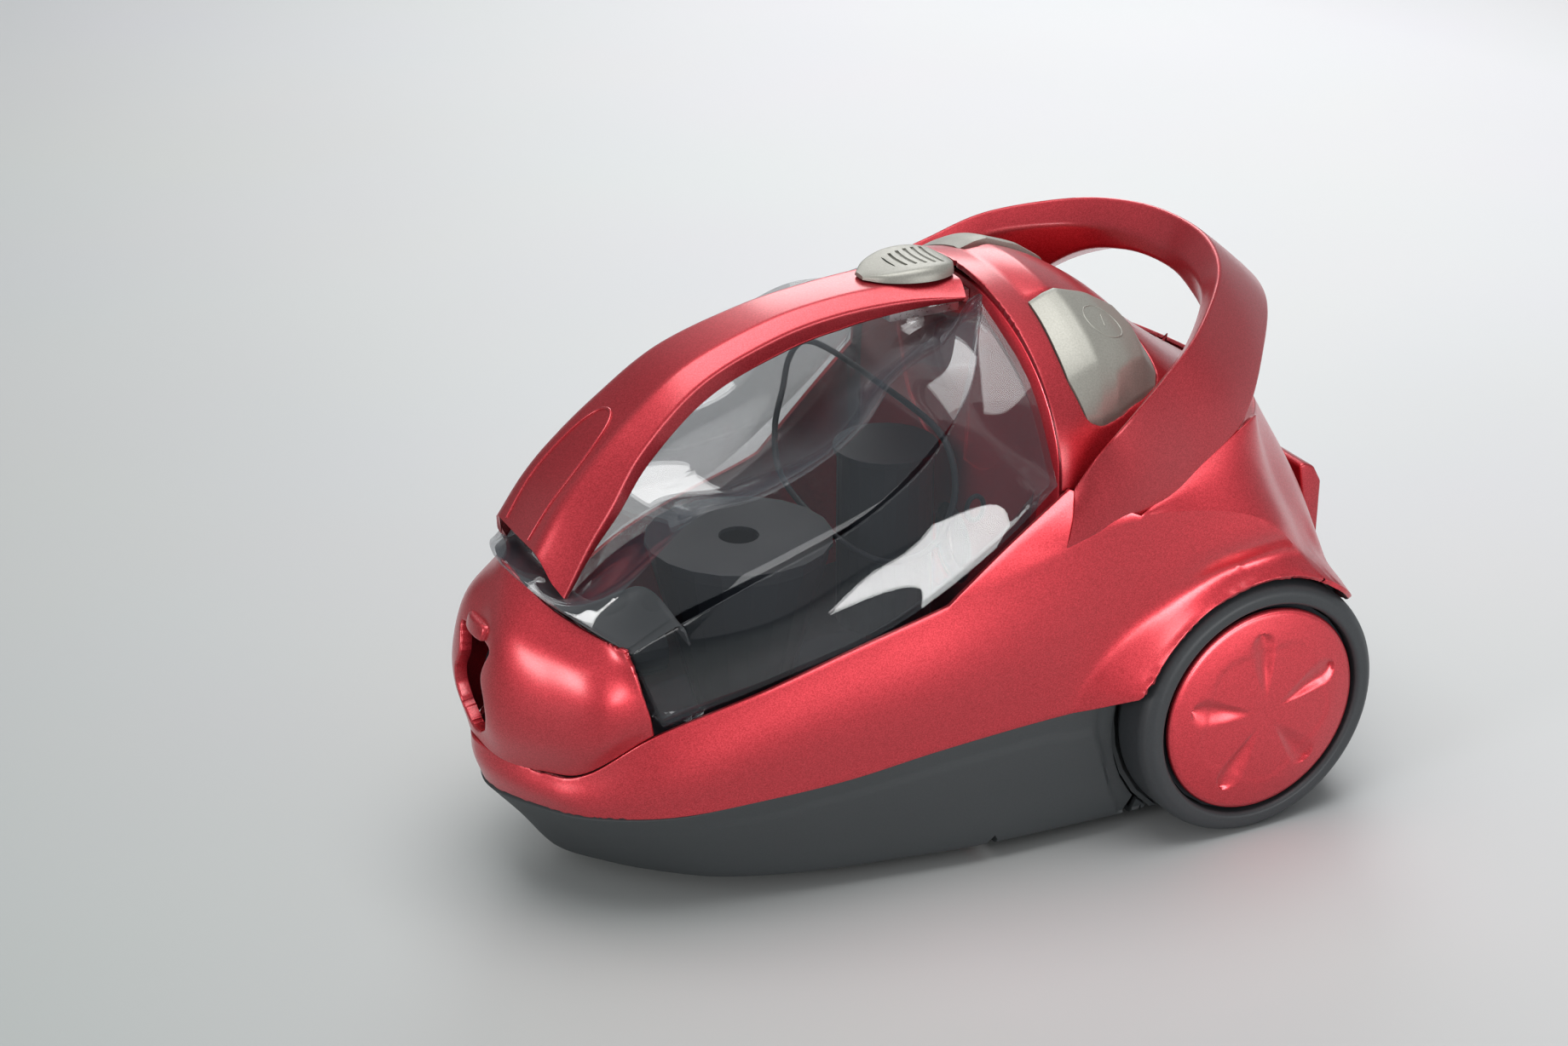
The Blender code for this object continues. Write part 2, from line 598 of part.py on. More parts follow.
def wheel(side, label):
    """Tyre, hub and domed cap of one rear wheel, with its stub axle and clip."""
    centre = (side * WHEEL_CENTRE_X, AXLE_Y, AXLE_Z)

    def out(profile):
        return [(radius, side * height) for radius, height in profile]

    turned(f"tyre_{label}", out([(56.5, -13), (66, -14), (WHEEL_RADIUS, -11), (WHEEL_RADIUS, 7),
                                 (66.5, 11), (63, 14), (58, 14), (56.5, 12)]), centre, "X", RUBBER,
           36)
    turned(f"wheel_hub_{label}", out([(5.2, -12), (18, -12), (18, -2), (48, 3), (50, -11),
                                      (56, -11), (56, 8), (40, 8), (12, 10), (5.2, 10)]),
           centre, "X", DARK, 24)
    turned(f"hub_cap_{label}", out([(0, 12.5), (40, 10.5), (53, 8.5), (54, 10.5), (53, 12.8),
                                    (38, 15.6), (20, 16.7), (0, 17)]), centre, "X", RED, 24)
    liner = turned(f"wheel_liner_{label}",
                   out([(AXLE_RADIUS + 0.6, 0), (9, 0), (69.6, 0), (69.6, 7), (72, 7), (72, -2.4),
                        (9, -2.4), (9, -8), (AXLE_RADIUS + 0.6, -8)]),
                   (side * (LINER_X + 2.4), AXLE_Y, AXLE_Z), "X", BLACK, 28)
    low, high = sorted((side * 70, side * 130))
    cut(liner, box(f"liner_bottom_{label}", (low, 40, -20), (high, 240, 12.5), None, home=tools))
    ends = sorted((side * 76, side * (WHEEL_CENTRE_X + 9)))
    disc(f"axle_{label}", AXLE_RADIUS, *ends, (0, AXLE_Y, AXLE_Z), "X", STEEL, 20)
    turned(f"axle_clip_{label}", out([(AXLE_RADIUS + 0.4, -1), (8.5, -1), (8.5, 1),
                                      (AXLE_RADIUS + 0.4, 1)]),
           (side * 80, AXLE_Y, AXLE_Z), "X", STEEL, 20)


def castor():
    """The swivelling front wheel in its well under the nose."""
    pivot = (0, CASTOR_Y, 0)
    wheel_y = CASTOR_Y + CASTOR_TRAIL
    turned("castor_housing", [(3.6, 34), (25, 34), (25, 9.5), (27, 9.5), (27, 36.2), (3.6, 36.2)],
           pivot, "Z", BLACK, 24)
    turned("castor_clip", [(3.4, 36.8), (6.5, 36.8), (6.5, 38.6), (3.4, 38.6)], pivot, "Z", STEEL,
           16)
    fork = disc("castor_fork", 13, 30, 33, pivot, "Z", DARK, 24)
    cut(fork, disc("fork_stem", 3, 32, 41, pivot, "Z", None, 16, tools), "UNION")
    for side in (1, -1):
        low, high = sorted((side * 7.6, side * 10))
        cut(fork, box(f"fork_arm_{'left' if side < 0 else 'right'}", (low, wheel_y - 5, 9),
                      (high, wheel_y + 5, 31), None, home=tools), "UNION")
    cut(fork, disc("fork_bore", 2.3, -12, 12, (0, wheel_y, CASTOR_RADIUS), "X", None, 12, tools))
    disc("castor_pin", 2, -10.2, 10.2, (0, wheel_y, CASTOR_RADIUS), "X", STEEL, 12)
    turned("castor_wheel", [(2.4, -6.5), (12, -6.5), (CASTOR_RADIUS, -4.5), (CASTOR_RADIUS, 4.5),
                            (12, 6.5), (2.4, 6.5)], (0, wheel_y, CASTOR_RADIUS), "X", RUBBER, 28)


# ---------------------------------------------------------------- air path and motor

def bulkhead():
    """The wall between the tank and the motor, with the motor's intake through it."""
    outline = [(-86, 14), (86, 14), (96, 80), (99, 150), (99, 196)]
    outline += [(99 * math.cos(t), 200 + 72 * math.sin(t))
                for t in np.radians(np.linspace(8, 172, 13))]
    outline += [(-99, 196), (-99, 150), (-96, 80)]
    obj = prism("bulkhead", outline, BULKHEAD_Y, BULKHEAD_Y + 3, "Y", RED)
    cut(obj, disc("intake_hole", OUTLET_RADIUS + 1, 20, 50, (0, 0, MOTOR_Z), "Y", None, 24, tools))
    return obj


def inlet():
    turned("hose_socket", [(16.5, -221), (18.6, -221), (18.6, -207), (25, -207), (25, -204.5),
                           (16.5, -204.5)], (0, 0, SOCKET_Z), "Y", DARK, 28)


def motor():
    place = (0, 0, MOTOR_Z)
    turned("intake_duct", [(18, 37.4), (23, 37.4), (23, 39.4), (20, 39.4), (20, 56), (18, 56)],
           place, "Y", DARK, 24)
    disc("motor_filter", 17.6, 42, 50, place, "Y", FILTER, 24)
    turned("motor_housing", [(27, 59), (HOUSING_RADIUS, 59), (HOUSING_RADIUS, 168),
                             (HOUSING_RADIUS - 2.4, 168), (HOUSING_RADIUS - 2.4, 61.4), (27, 61.4)],
           place, "Y", DARK, 20)
    turned("fan_shroud", [(16, 64), (SHROUD_RADIUS, 64), (SHROUD_RADIUS, 92),
                          (SHROUD_RADIUS - 1.6, 92), (SHROUD_RADIUS - 1.6, 65.6), (16, 65.6)],
           place, "Y", STEEL, 20)
    turned("motor_mount_front", [(SHROUD_RADIUS + 0.4, 72), (HOUSING_RADIUS - 2.8, 72),
                                 (HOUSING_RADIUS - 2.8, 84), (SHROUD_RADIUS + 0.4, 84)],
           place, "Y", RUBBER, 20)
    turned("fan_impeller", [(4.3, 69), (10, 69), (50, 74), (52, 76), (52, 86), (4.3, 86)], place,
           "Y", STEEL, 20)
    disc("motor_shaft", 4, 67, 158, place, "Y", STEEL, 16)
    turned("motor_rotor", [(4.3, 98), (26, 98), (26, 140), (4.3, 140)], place, "Y", STEEL, 24)
    turned("motor_can", [(28, 96), (CAN_RADIUS, 96), (CAN_RADIUS, 147), (28, 147)], place, "Y",
           STEEL, 20)
    turned("motor_end_cap", [(4.6, 148), (CAN_RADIUS, 148), (CAN_RADIUS, 152), (12, 152),
                             (12, 160), (4.6, 160)], place, "Y", STEEL, 24)
    turned("motor_mount_rear", [(CAN_RADIUS + 0.4, 136), (HOUSING_RADIUS - 2.8, 136),
                                (HOUSING_RADIUS - 2.8, 144), (CAN_RADIUS + 0.4, 144)],
           place, "Y", RUBBER, 20)
    box("motor_cradle", (-30, 100, REEL_HIGH + 4), (30, 150, MOTOR_Z - HOUSING_RADIUS - 0.5), BLACK)


def exhaust():
    """The filter and the hinged door behind it at the back."""
    box("exhaust_filter", (-36, 190, 112), (36, 201, 145), FILTER)
    outline = [(223, 105), (214.6, 152), (218, 153), (224, 150), (229, 141), (229, 111), (226, 105)]
    prism("exhaust_door", outline, -43, 43, "X", RED)


def cord_reel():
    place = (0, REEL_Y, 0)
    turned("reel_spindle", [(0, 12.2), (14, 12.2), (14, 14.4), (8, 14.4), (8, REEL_HIGH + 2.6),
                            (0, REEL_HIGH + 2.6)], place, "Z", STEEL, 20)
    turned("cord_reel", [(8.5, REEL_LOW), (REEL_RADIUS, REEL_LOW), (REEL_RADIUS, REEL_LOW + 2),
                         (30, REEL_LOW + 2), (30, REEL_HIGH - 2), (REEL_RADIUS, REEL_HIGH - 2),
                         (REEL_RADIUS, REEL_HIGH), (8.5, REEL_HIGH)], place, "Z", DARK, 24)


# ---------------------------------------------------------------- controls

def pedal_gear():
    """The frame under the deck, with the switch, the return springs and the cord brake's rod."""
    frame = box("pedal_frame", (-84, BULKHEAD_Y + 3.5, FRAME_Z), (84, 84, FRAME_Z + 3), BLACK)
    cut(frame, disc("rod_hole", 5, FRAME_Z - 5, FRAME_Z + 8, (ROD_X, ROD_Y, 0), "Z", None, 12, tools))
    box("power_switch", (52, 66, FRAME_Z + 3.3), (68, 82, FRAME_Z + 16), DARK)
    disc("brake_rod", 3, 50, 236, (ROD_X, ROD_Y, 0), "Z", STEEL, 10)
    for side, name in ((1, "power_pedal_spring"), (-1, "rewind_pedal_spring")):
        spring(name, (side * 40, 72, FRAME_Z + 4.2), 249.5, 5, 4)


def spring(name, foot, top, radius, turns):
    """A compression spring: one helix of round wire."""
    count = turns * 8
    data = bpy.data.curves.new(name + "_path", "CURVE")
    data.dimensions = "3D"
    data.bevel_depth = 0.6 * MM
    data.bevel_resolution = 0
    data.use_fill_caps = True
    line = data.splines.new("POLY")
    line.points.add(count)
    for i, point in enumerate(line.points):
        turn = 2 * math.pi * i / 8
        x = foot[0] + radius * math.cos(turn)
        y = foot[1] + radius * math.sin(turn)
        z = foot[2] + (top - foot[2]) * i / count
        point.co = (x * MM, y * MM, z * MM, 1.0)
    obj = bpy.data.objects.new(name, data)
    parts.objects.link(obj)
    data.materials.append(STEEL)
    return obj


def latch_gear():
    box("latch_hook", (-9, -8, 257), (9, 29.8, 261), STEEL)
    box("latch_striker", (-12, 30.6, 262), (12, BULKHEAD_Y - 0.4, 268), STEEL)


# ---------------------------------------------------------------- inside the tank

def tank_internals():
    centre = (0, -84, 0)
    turned("separator_cone", [(20, 66), (22, 66), (44, 150), (44, 154), (42, 154), (20, 70)],
           centre, "Z", DARK, 20)
    turned("separator_plate", [(10, 155), (46, 155), (46, 157), (10, 157)], centre, "Z", DARK, 20)
    turned("mesh_filter", [(17, 96), (24, 96), (24, 186), (22.6, 186), (22.6, 97.4), (17, 97.4)],
           (0, -4, 0), "Z", DARK, 24)
    turned("mesh_filter_cap", [(0, 187), (26, 187), (26, 190), (0, 190)], (0, -4, 0), "Z", DARK, 24)
    turned("tank_inlet_tube", [(12, -172), (14, -172), (14, -128), (12, -128)], (0, 0, TANK_INLET_Z),
           "Y", DARK, 20)
    turned("seal_pull", [(3.6, -1), (5.4, -1), (5.4, 1), (3.6, 1)], (86, -3, 190), "X", RUBBER, 14)


def tank_seal():
    """The gasket round the leaning frame in front of the tank's filter: one closed loop."""
    half = smooth([(0, -10, 224), (50, -10, 223), (74, -12, 219), (86, -14, 206), (87, -17, 190),
                   (82, -24, 172), (62, -32, 158), (36, -34, 151), (0, -34, 148)], 3)
    path = [tuple(p) for p in half] + [(-x, y, z) for x, y, z in half[::-1][1:-1]]
    data = bpy.data.curves.new("tank_seal_path", "CURVE")
    data.dimensions = "3D"
    data.bevel_depth = 1.3 * MM
    data.bevel_resolution = 0
    line = data.splines.new("POLY")
    line.points.add(len(path) - 1)
    for point, place in zip(line.points, path):
        point.co = (*(value * MM for value in place), 1.0)
    line.use_cyclic_u = True
    obj = bpy.data.objects.new("tank_seal", data)
    parts.objects.link(obj)
    data.materials.append(RUBBER)
    return obj


base_tray()
body_shell()
nose_cap()
pedal_deck()
carry_hoop()
pedal("power_pedal", 1)
pedal("rewind_pedal", -1)
tank_shell()
tank_lid()
strap_handle()
latch_button()
latch_gear()
tank_seal()
tank_internals()
for side, label in ((1, "right"), (-1, "left")):
    wheel(side, label)
castor()
bulkhead()
inlet()
motor()
exhaust()
cord_reel()
pedal_gear()

PIVOTS = {
    (WHEEL_CENTRE_X, AXLE_Y, AXLE_Z): ["tyre_right", "wheel_hub_right", "hub_cap_right"],
    (-WHEEL_CENTRE_X, AXLE_Y, AXLE_Z): ["tyre_left", "wheel_hub_left", "hub_cap_left"],
    (0, CASTOR_Y, 30): ["castor_fork", "castor_pin", "castor_clip"],
    (0, CASTOR_Y + CASTOR_TRAIL, CASTOR_RADIUS): ["castor_wheel"],
    (0, REEL_Y, REEL_LOW): ["cord_reel"],
    (0, 100, MOTOR_Z): ["motor_shaft", "motor_rotor", "fan_impeller"],
    (0, DOOR_AXIS_Y, DOOR_AXIS_Z): ["exhaust_door"],
}
for place, names in PIVOTS.items():
    for name in names:
        pivot(bpy.data.objects[name], place)
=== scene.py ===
"""Looks of the canister vacuum cleaner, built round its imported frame.

Control points are in millimetres, in the frame's own axes: +X the right-hand wheel, -Y the nose,
+Z up. They are scaled once, by MM, when a mesh is made.
"""

import json
import math

import bmesh
import bpy
import numpy as np
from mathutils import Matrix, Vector


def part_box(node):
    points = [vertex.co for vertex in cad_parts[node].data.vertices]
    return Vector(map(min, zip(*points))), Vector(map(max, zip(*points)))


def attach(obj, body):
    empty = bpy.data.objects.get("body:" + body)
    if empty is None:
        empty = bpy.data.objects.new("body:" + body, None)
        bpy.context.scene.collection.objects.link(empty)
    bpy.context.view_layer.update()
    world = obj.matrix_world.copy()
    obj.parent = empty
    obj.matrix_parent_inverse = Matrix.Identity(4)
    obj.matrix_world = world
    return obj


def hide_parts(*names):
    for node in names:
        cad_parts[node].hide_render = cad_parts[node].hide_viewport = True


MM = 0.001
WALL = 2.4
TANK_WALL = 2.2
ARCH_RADIUS = 72.5
ARCH_LIP_X = 126.5  # how far out the arch's lip stands
LIP_LIMIT = 126.8  # points of the casing further out than this are held back to it
WELL_X = 88  # where the wheel wells start
WHEEL_X = 113  # how far out the middle of each wheel stands
FLARE_X = 84  # where the flare starts to bend the side
WELD = 0.7  # points this close along a trimmed edge become one
STEEPEST = 0.5  # least lean of a face that thicken makes up for
CAMERA_PLACE = (1.14508558, -0.62799354, 0.74903619)
CAMERA_TILT = math.radians(65.2)
CAMERA_TURN = math.radians(63.6)

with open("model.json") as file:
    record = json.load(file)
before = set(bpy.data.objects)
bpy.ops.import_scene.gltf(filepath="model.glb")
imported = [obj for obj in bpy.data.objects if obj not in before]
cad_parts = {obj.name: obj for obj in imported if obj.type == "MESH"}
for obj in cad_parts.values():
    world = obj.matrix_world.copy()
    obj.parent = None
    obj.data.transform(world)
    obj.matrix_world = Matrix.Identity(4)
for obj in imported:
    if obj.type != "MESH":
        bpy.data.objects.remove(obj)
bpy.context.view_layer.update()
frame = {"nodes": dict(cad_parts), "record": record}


def middle_of(node):
    low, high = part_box(node)
    return (np.array(low) + np.array(high)) / 2 / MM


AXLE_Y, AXLE_Z = middle_of("hub_cap_right")[1:]
WHEEL_RADIUS = (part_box("tyre_right")[1].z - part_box("tyre_right")[0].z) / 2 / MM
SOCKET_Z = middle_of("hose_socket")[2]


# ---------------------------------------------------------------- materials

def new_material(name):
    made = bpy.data.materials.new(name)
    made.use_nodes = True
    nodes, links = made.node_tree.nodes, made.node_tree.links
    return made, nodes, links, nodes["Principled BSDF"]


def settle(shader, **values):
    names = {"rough": "Roughness", "metal": "Metallic", "coat": "Coat Weight", "ior": "IOR",
             "coat_rough": "Coat Roughness", "specular": "Specular IOR Level", "tint": "Specular Tint"}
    for key, value in values.items():
        socket = shader.inputs[names[key]]
        socket.default_value = (*value, 1.0) if isinstance(value, tuple) else value


def texture(nodes, links, kind, scale, **settings):
    """A texture in the object's own coordinates, so it is fixed to the piece."""
    place = nodes.get("place") or nodes.new("ShaderNodeTexCoord")
    place.name = "place"
    made = nodes.new(kind)
    made.inputs["Scale"].default_value = scale
    for key, value in settings.items():
        made.inputs[key].default_value = value
    links.new(place.outputs["Object"], made.inputs["Vector"])
    return made


def ramp(nodes, links, source, low, high, first, last):
    made = nodes.new("ShaderNodeMapRange")
    made.inputs["From Min"].default_value = low
    made.inputs["From Max"].default_value = high
    made.inputs["To Min"].default_value = first
    made.inputs["To Max"].default_value = last
    links.new(source, made.inputs["Value"])
    return made.outputs["Result"]


def mix_colour(nodes, links, factor, first, last):
    made = nodes.new("ShaderNodeMix")
    made.data_type = "RGBA"
    made.inputs["A"].default_value = (*first, 1.0)
    made.inputs["B"].default_value = (*last, 1.0)
    links.new(factor, made.inputs["Factor"])
    return made.outputs["Result"]


def bump(nodes, links, shader, height, strength, distance):
    made = nodes.new("ShaderNodeBump")
    made.inputs["Strength"].default_value = strength
    made.inputs["Distance"].default_value = distance
    links.new(height, made.inputs["Height"])
    links.new(made.outputs["Normal"], shader.inputs["Normal"])


def satin_red():
    """Metallic red lacquer over moulded plastic: fine flakes under a satin coat."""
    made, nodes, links, shader = new_material("satin_red")
    flakes = texture(nodes, links, "ShaderNodeTexVoronoi", 2400)
    cloud = texture(nodes, links, "ShaderNodeTexNoise", 900, Detail=3.0)
    share = ramp(nodes, links, flakes.outputs["Color"], 0.1, 0.9, 0.0, 1.0)
    colour = mix_colour(nodes, links, share, (0.36, 0.012, 0.020), (0.56, 0.034, 0.050))
    links.new(colour, shader.inputs["Base Color"])
    links.new(ramp(nodes, links, cloud.outputs["Fac"], 0.3, 0.7, 0.38, 0.46), shader.inputs["Roughness"])
    settle(shader, metal=0.8, coat=0.9, coat_rough=0.24, tint=(1.0, 0.8, 0.82))
    bump(nodes, links, shader, flakes.outputs["Distance"], 0.05, 0.0002)
    return made


def textured_plastic(name, colour, rough, grain, depth, metal=0.0, spread=0.25, specular=0.5):
    """Moulded plastic with a spark-eroded grain: colour and gloss vary a little with it."""
    made, nodes, links, shader = new_material(name)
    noise = texture(nodes, links, "ShaderNodeTexNoise", grain, Detail=4.0, Roughness=0.6)
    broad = texture(nodes, links, "ShaderNodeTexNoise", 14, Detail=3.0)
    dark = tuple(value * (1 - spread) for value in colour)
    light = tuple(value * (1 + spread) for value in colour)
    links.new(mix_colour(nodes, links, noise.outputs["Fac"], dark, light), shader.inputs["Base Color"])
    links.new(ramp(nodes, links, broad.outputs["Fac"], 0.3, 0.7, rough - 0.05, rough + 0.05),
              shader.inputs["Roughness"])
    settle(shader, metal=metal, specular=specular)
    bump(nodes, links, shader, noise.outputs["Fac"], 0.6, depth)
    return made


def smoked_clear():
    """Lightly smoked clear plastic in thin walls: it shines more, and shows less, at a slant."""
    made, nodes, links, shader = new_material("smoked_clear")
    haze = texture(nodes, links, "ShaderNodeTexNoise", 30, Detail=4.0)
    links.new(ramp(nodes, links, haze.outputs["Fac"], 0.45, 0.8, 0.015, 0.06), shader.inputs["Roughness"])
    colour = mix_colour(nodes, links, haze.outputs["Fac"], (0.040, 0.050, 0.064), (0.055, 0.066, 0.082))
    links.new(colour, shader.inputs["Base Color"])
    slant = nodes.new("ShaderNodeFresnel")
    slant.inputs["IOR"].default_value = 1.45
    links.new(ramp(nodes, links, slant.outputs["Fac"], 0.034, 0.3, 0.10, 0.45), shader.inputs["Alpha"])
    settle(shader, ior=2.5, specular=0.8)
    return made


def brushed_steel():
    made, nodes, links, shader = new_material("steel")
    grain = texture(nodes, links, "ShaderNodeTexNoise", 700, Detail=3.0)
    colour = mix_colour(nodes, links, grain.outputs["Fac"], (0.42, 0.42, 0.43), (0.62, 0.62, 0.63))
    links.new(colour, shader.inputs["Base Color"])
    links.new(ramp(nodes, links, grain.outputs["Fac"], 0.3, 0.7, 0.25, 0.4), shader.inputs["Roughness"])
    settle(shader, metal=1.0)
    return made


def pleated_filter():
    """Pale pleated paper: fine bands across the filter, with painted shade darkening each fold."""
    made, nodes, links, shader = new_material("filter_pleats")
    pleats = texture(nodes, links, "ShaderNodeTexWave", 120)
    # painted shade: the colour runs from dark in each fold to light on each crest, following the same bands
    # as the bump
    colour = mix_colour(nodes, links, pleats.outputs["Fac"], (0.45, 0.44, 0.40), (0.80, 0.79, 0.74))
    links.new(colour, shader.inputs["Base Color"])
    settle(shader, rough=0.9)
    bump(nodes, links, shader, pleats.outputs["Fac"], 0.8, 0.001)
    return made


FINISHES = {
    "satin_red": satin_red(),
    "charcoal_plastic": textured_plastic("charcoal_plastic", (0.037, 0.042, 0.045), 0.6, 1500, 0.00004),
    "silver_grey": textured_plastic("silver_grey", (0.30, 0.295, 0.262), 0.44, 1300, 0.00008, metal=0.5,
                                    spread=0.3),
    "smoked_clear": smoked_clear(),
    "rubber": textured_plastic("rubber", (0.033, 0.037, 0.041), 0.48, 800, 0.00005),
    "dark_plastic": textured_plastic("dark_plastic", (0.010, 0.013, 0.018), 0.55, 700, 0.00001, spread=0.1,
                                     specular=0.25),
    "steel": brushed_steel(),
    "filter": pleated_filter(),
}


def finish(obj, slot, body, *nodes):
    """Gives a piece its material and slot, makes it ride on its body and stand for its CAD nodes."""
    obj.data.materials.clear()
    obj.data.materials.append(FINISHES[slot])
    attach(obj, body)
    if nodes:
        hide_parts(*nodes)
    return obj


# ---------------------------------------------------------------- lines and surfaces

def smooth(points, steps):
    """Catmull-Rom along the first axis, mirrored past any end that lies on the plane X = 0."""
    points = np.asarray(points, float)
    flip = np.array([-1.0, 1.0, 1.0])
    before, after = 2 * points[0] - points[1], 2 * points[-1] - points[-2]
    if points.ndim == 2 and points.shape[1] == 3 and abs(points[0, 0]) < 1e-9:
        before = points[1] * flip
    if points.ndim == 2 and points.shape[1] == 3 and abs(points[-1, 0]) < 1e-9:
        after = points[-2] * flip
    full = np.concatenate([before[None], points, after[None]])
    slope = (full[2:] - full[:-2]) / 2
    out = []
    for i in range(len(points) - 1):
        for k in range(steps):
            s = k / steps
            out.append((2 * s**3 - 3 * s**2 + 1) * points[i] + (s**3 - 2 * s**2 + s) * slope[i]
                       + (3 * s**2 - 2 * s**3) * points[i + 1] + (s**3 - s**2) * slope[i + 1])
    out.append(points[-1])
    return np.array(out)


def runs(*parts, steps):
    """A line of several smooth runs that meet in corners."""
    lines = [smooth(part, steps) for part in parts]
    return np.concatenate([line[:-1] for line in lines[:-1]] + [lines[-1]])


def skin(rows, along, across):
    """A smooth surface through rows of control points."""
    return smooth([smooth(row, along) for row in rows], across)


def relax(grid, times):
    """Evens out a surface without moving its edges."""
    grid = grid.copy()
    for _ in range(times):
        around = (grid[:-2, 1:-1] + grid[2:, 1:-1] + grid[1:-1, :-2] + grid[1:-1, 2:]) / 4
        grid[1:-1, 1:-1] += (around - grid[1:-1, 1:-1]) / 2
    return grid


def ease(value):
    value = np.clip(value, 0.0, 1.0)
    return value * value * (3 - 2 * value)


def arc(centre, radius, start, end, count):
    turns = np.radians(np.linspace(start, end, count))
    return [(centre[0] + radius * math.cos(t), centre[1] + radius * math.sin(t)) for t in turns]


def circle(centre, radius):
    return arc(centre, radius, 0, 352.5, 48)


# ---------------------------------------------------------------- meshes

def add_grid(mesh, grid):
    verts = [[mesh.verts.new(point * MM) for point in row] for row in grid]
    for low, high in zip(verts, verts[1:]):
        for a, b, c, d in zip(low, low[1:], high[1:], high):
            mesh.faces.new((a, b, c, d))


def as_object(name, mesh, angle=35):
    data = bpy.data.meshes.new(name)
    mesh.to_mesh(data)
    mesh.free()
    obj = bpy.data.objects.new(name, data)
    bpy.context.scene.collection.objects.link(obj)
    shade(obj, angle)
    return obj


def shade(obj, angle):
    for face in obj.data.polygons:
        face.use_smooth = True
    obj.data.set_sharp_from_angle(angle=math.radians(angle))


def facing_out(mesh, inside):
    inside = Vector(inside) * MM
    mesh.normal_update()
    outward = sum(face.calc_area() * face.normal.dot(face.calc_center_median() - inside)
                  for face in mesh.faces)
    if outward < 0:
        bmesh.ops.reverse_faces(mesh, faces=mesh.faces[:])


def mirror_half(mesh):
    """Adds the other half of a mesh, across X = 0, and joins the two."""
    bmesh.ops.mirror(mesh, geom=mesh.verts[:] + mesh.edges[:] + mesh.faces[:], axis="X",
                     merge_dist=1e-6)
    bmesh.ops.remove_doubles(mesh, verts=mesh.verts[:], dist=1e-5)


def open_surface(grids, inside):
    """Half surfaces that share edges, mirrored across X = 0 and facing out."""
    mesh = bmesh.new()
    for grid in grids:
        add_grid(mesh, grid)
    mirror_half(mesh)
    bmesh.ops.dissolve_degenerate(mesh, edges=mesh.edges[:], dist=1e-6)
    bmesh.ops.recalc_face_normals(mesh, faces=mesh.faces[:])
    facing_out(mesh, inside)
    return mesh


def trim(mesh, field):
    """Removes the faces inside a form and slides those across its surface onto it.

    field(x, y, z) gives a point's distance from the form, negative inside. The points slide along
    the mesh's own surface, so its shape stays close to what it was.
    """
    mesh.normal_update()
    inside = {vert for vert in mesh.verts if field(*(vert.co / MM)) < 0}
    doomed = [face for face in mesh.faces if all(vert in inside for vert in face.verts)]
    normals = {vert: np.array(vert.normal) for vert in inside}
    bmesh.ops.delete(mesh, geom=doomed, context="FACES")
    slid = [vert for vert in mesh.verts if vert in inside and vert.is_valid]
    for turn in range(4):
        for vert in slid:
            sides = [e.other_vert(vert).co for e in vert.link_edges if e.is_boundary]
            if turn and len(sides) == 2:
                vert.co = vert.co / 2 + (sides[0] + sides[1]) / 4
            normal, place = normals[vert], np.array(vert.co) / MM
            for _ in range(5 if turn == 0 else 2):
                here = field(*place)
                slope = np.array([(field(*(place + step)) - here) / 0.01 for step in np.eye(3) * 0.01])
                slope -= normal * slope.dot(normal)
                size = slope.dot(slope)
                if size < 0.04:
                    break
                place -= slope * np.clip(here / size, -4, 4)
            vert.co = Vector(place) * MM
    close = bmesh.ops.find_doubles(mesh, verts=mesh.verts[:], keep_verts=slid, dist=WELD * MM)
    bmesh.ops.weld_verts(mesh, targetmap=close["targetmap"])
    bmesh.ops.dissolve_degenerate(mesh, edges=mesh.edges[:], dist=1.5e-4)
    loose = [vert for vert in mesh.verts if not vert.link_faces]
    bmesh.ops.delete(mesh, geom=loose, context="VERTS")
    bare = [e for e in mesh.edges if not e.link_faces]
    bmesh.ops.delete(mesh, geom=bare, context="EDGES")


def thicken(mesh, depth, edge=0.4):
    """Closes an open surface into a wall: a second skin inside it, with eased edges round the rim."""
    mesh.normal_update()
    outer, rim = mesh.faces[:], [e for e in mesh.edges if e.is_boundary]
    inner = {}
    for vert in mesh.verts[:]:
        lean = min(face.normal.dot(vert.normal) for face in vert.link_faces)
        wall = depth(vert.co / MM) if callable(depth) else depth
        inner[vert] = mesh.verts.new(vert.co - vert.normal * (wall * MM / max(STEEPEST, lean)))
    for face in outer:
        mesh.faces.new([inner[vert] for vert in reversed(face.verts)])
    ends = {vert for e in rim for vert in e.verts}
    inward = {}
    for vert in ends:
        away = Vector((0, 0, 0))
        for face in vert.link_faces:
            if all(v in inner for v in face.verts):
                away += face.calc_center_median() - vert.co
        away -= vert.normal * away.dot(vert.normal)
        inward[vert] = away.normalized() if away.length > 1e-9 else Vector((0, 0, 0))
    levels = [{vert: vert for vert in ends}]
    if edge:
        for share in (0.3, 0.75):
            turn = math.pi / 2 * share
            levels.append({vert: mesh.verts.new(
                vert.co - inward[vert] * (edge * MM * math.sin(turn))
                - vert.normal * (edge * MM * (1 - math.cos(turn)))) for vert in ends})
        last = {vert: mesh.verts.new(vert.co - inward[vert] * edge * MM - vert.normal * edge * MM)
                for vert in ends}
        levels.append(last)
        levels.append({vert: mesh.verts.new(inner[vert].co - inward[vert] * edge * MM) for vert in ends})
    levels.append({vert: inner[vert] for vert in ends})
    for near, far in zip(levels, levels[1:]):
        for e in rim:
            a, b = e.verts
            mesh.faces.new((near[a], near[b], far[b], far[a]))
    bmesh.ops.recalc_face_normals(mesh, faces=mesh.faces[:])


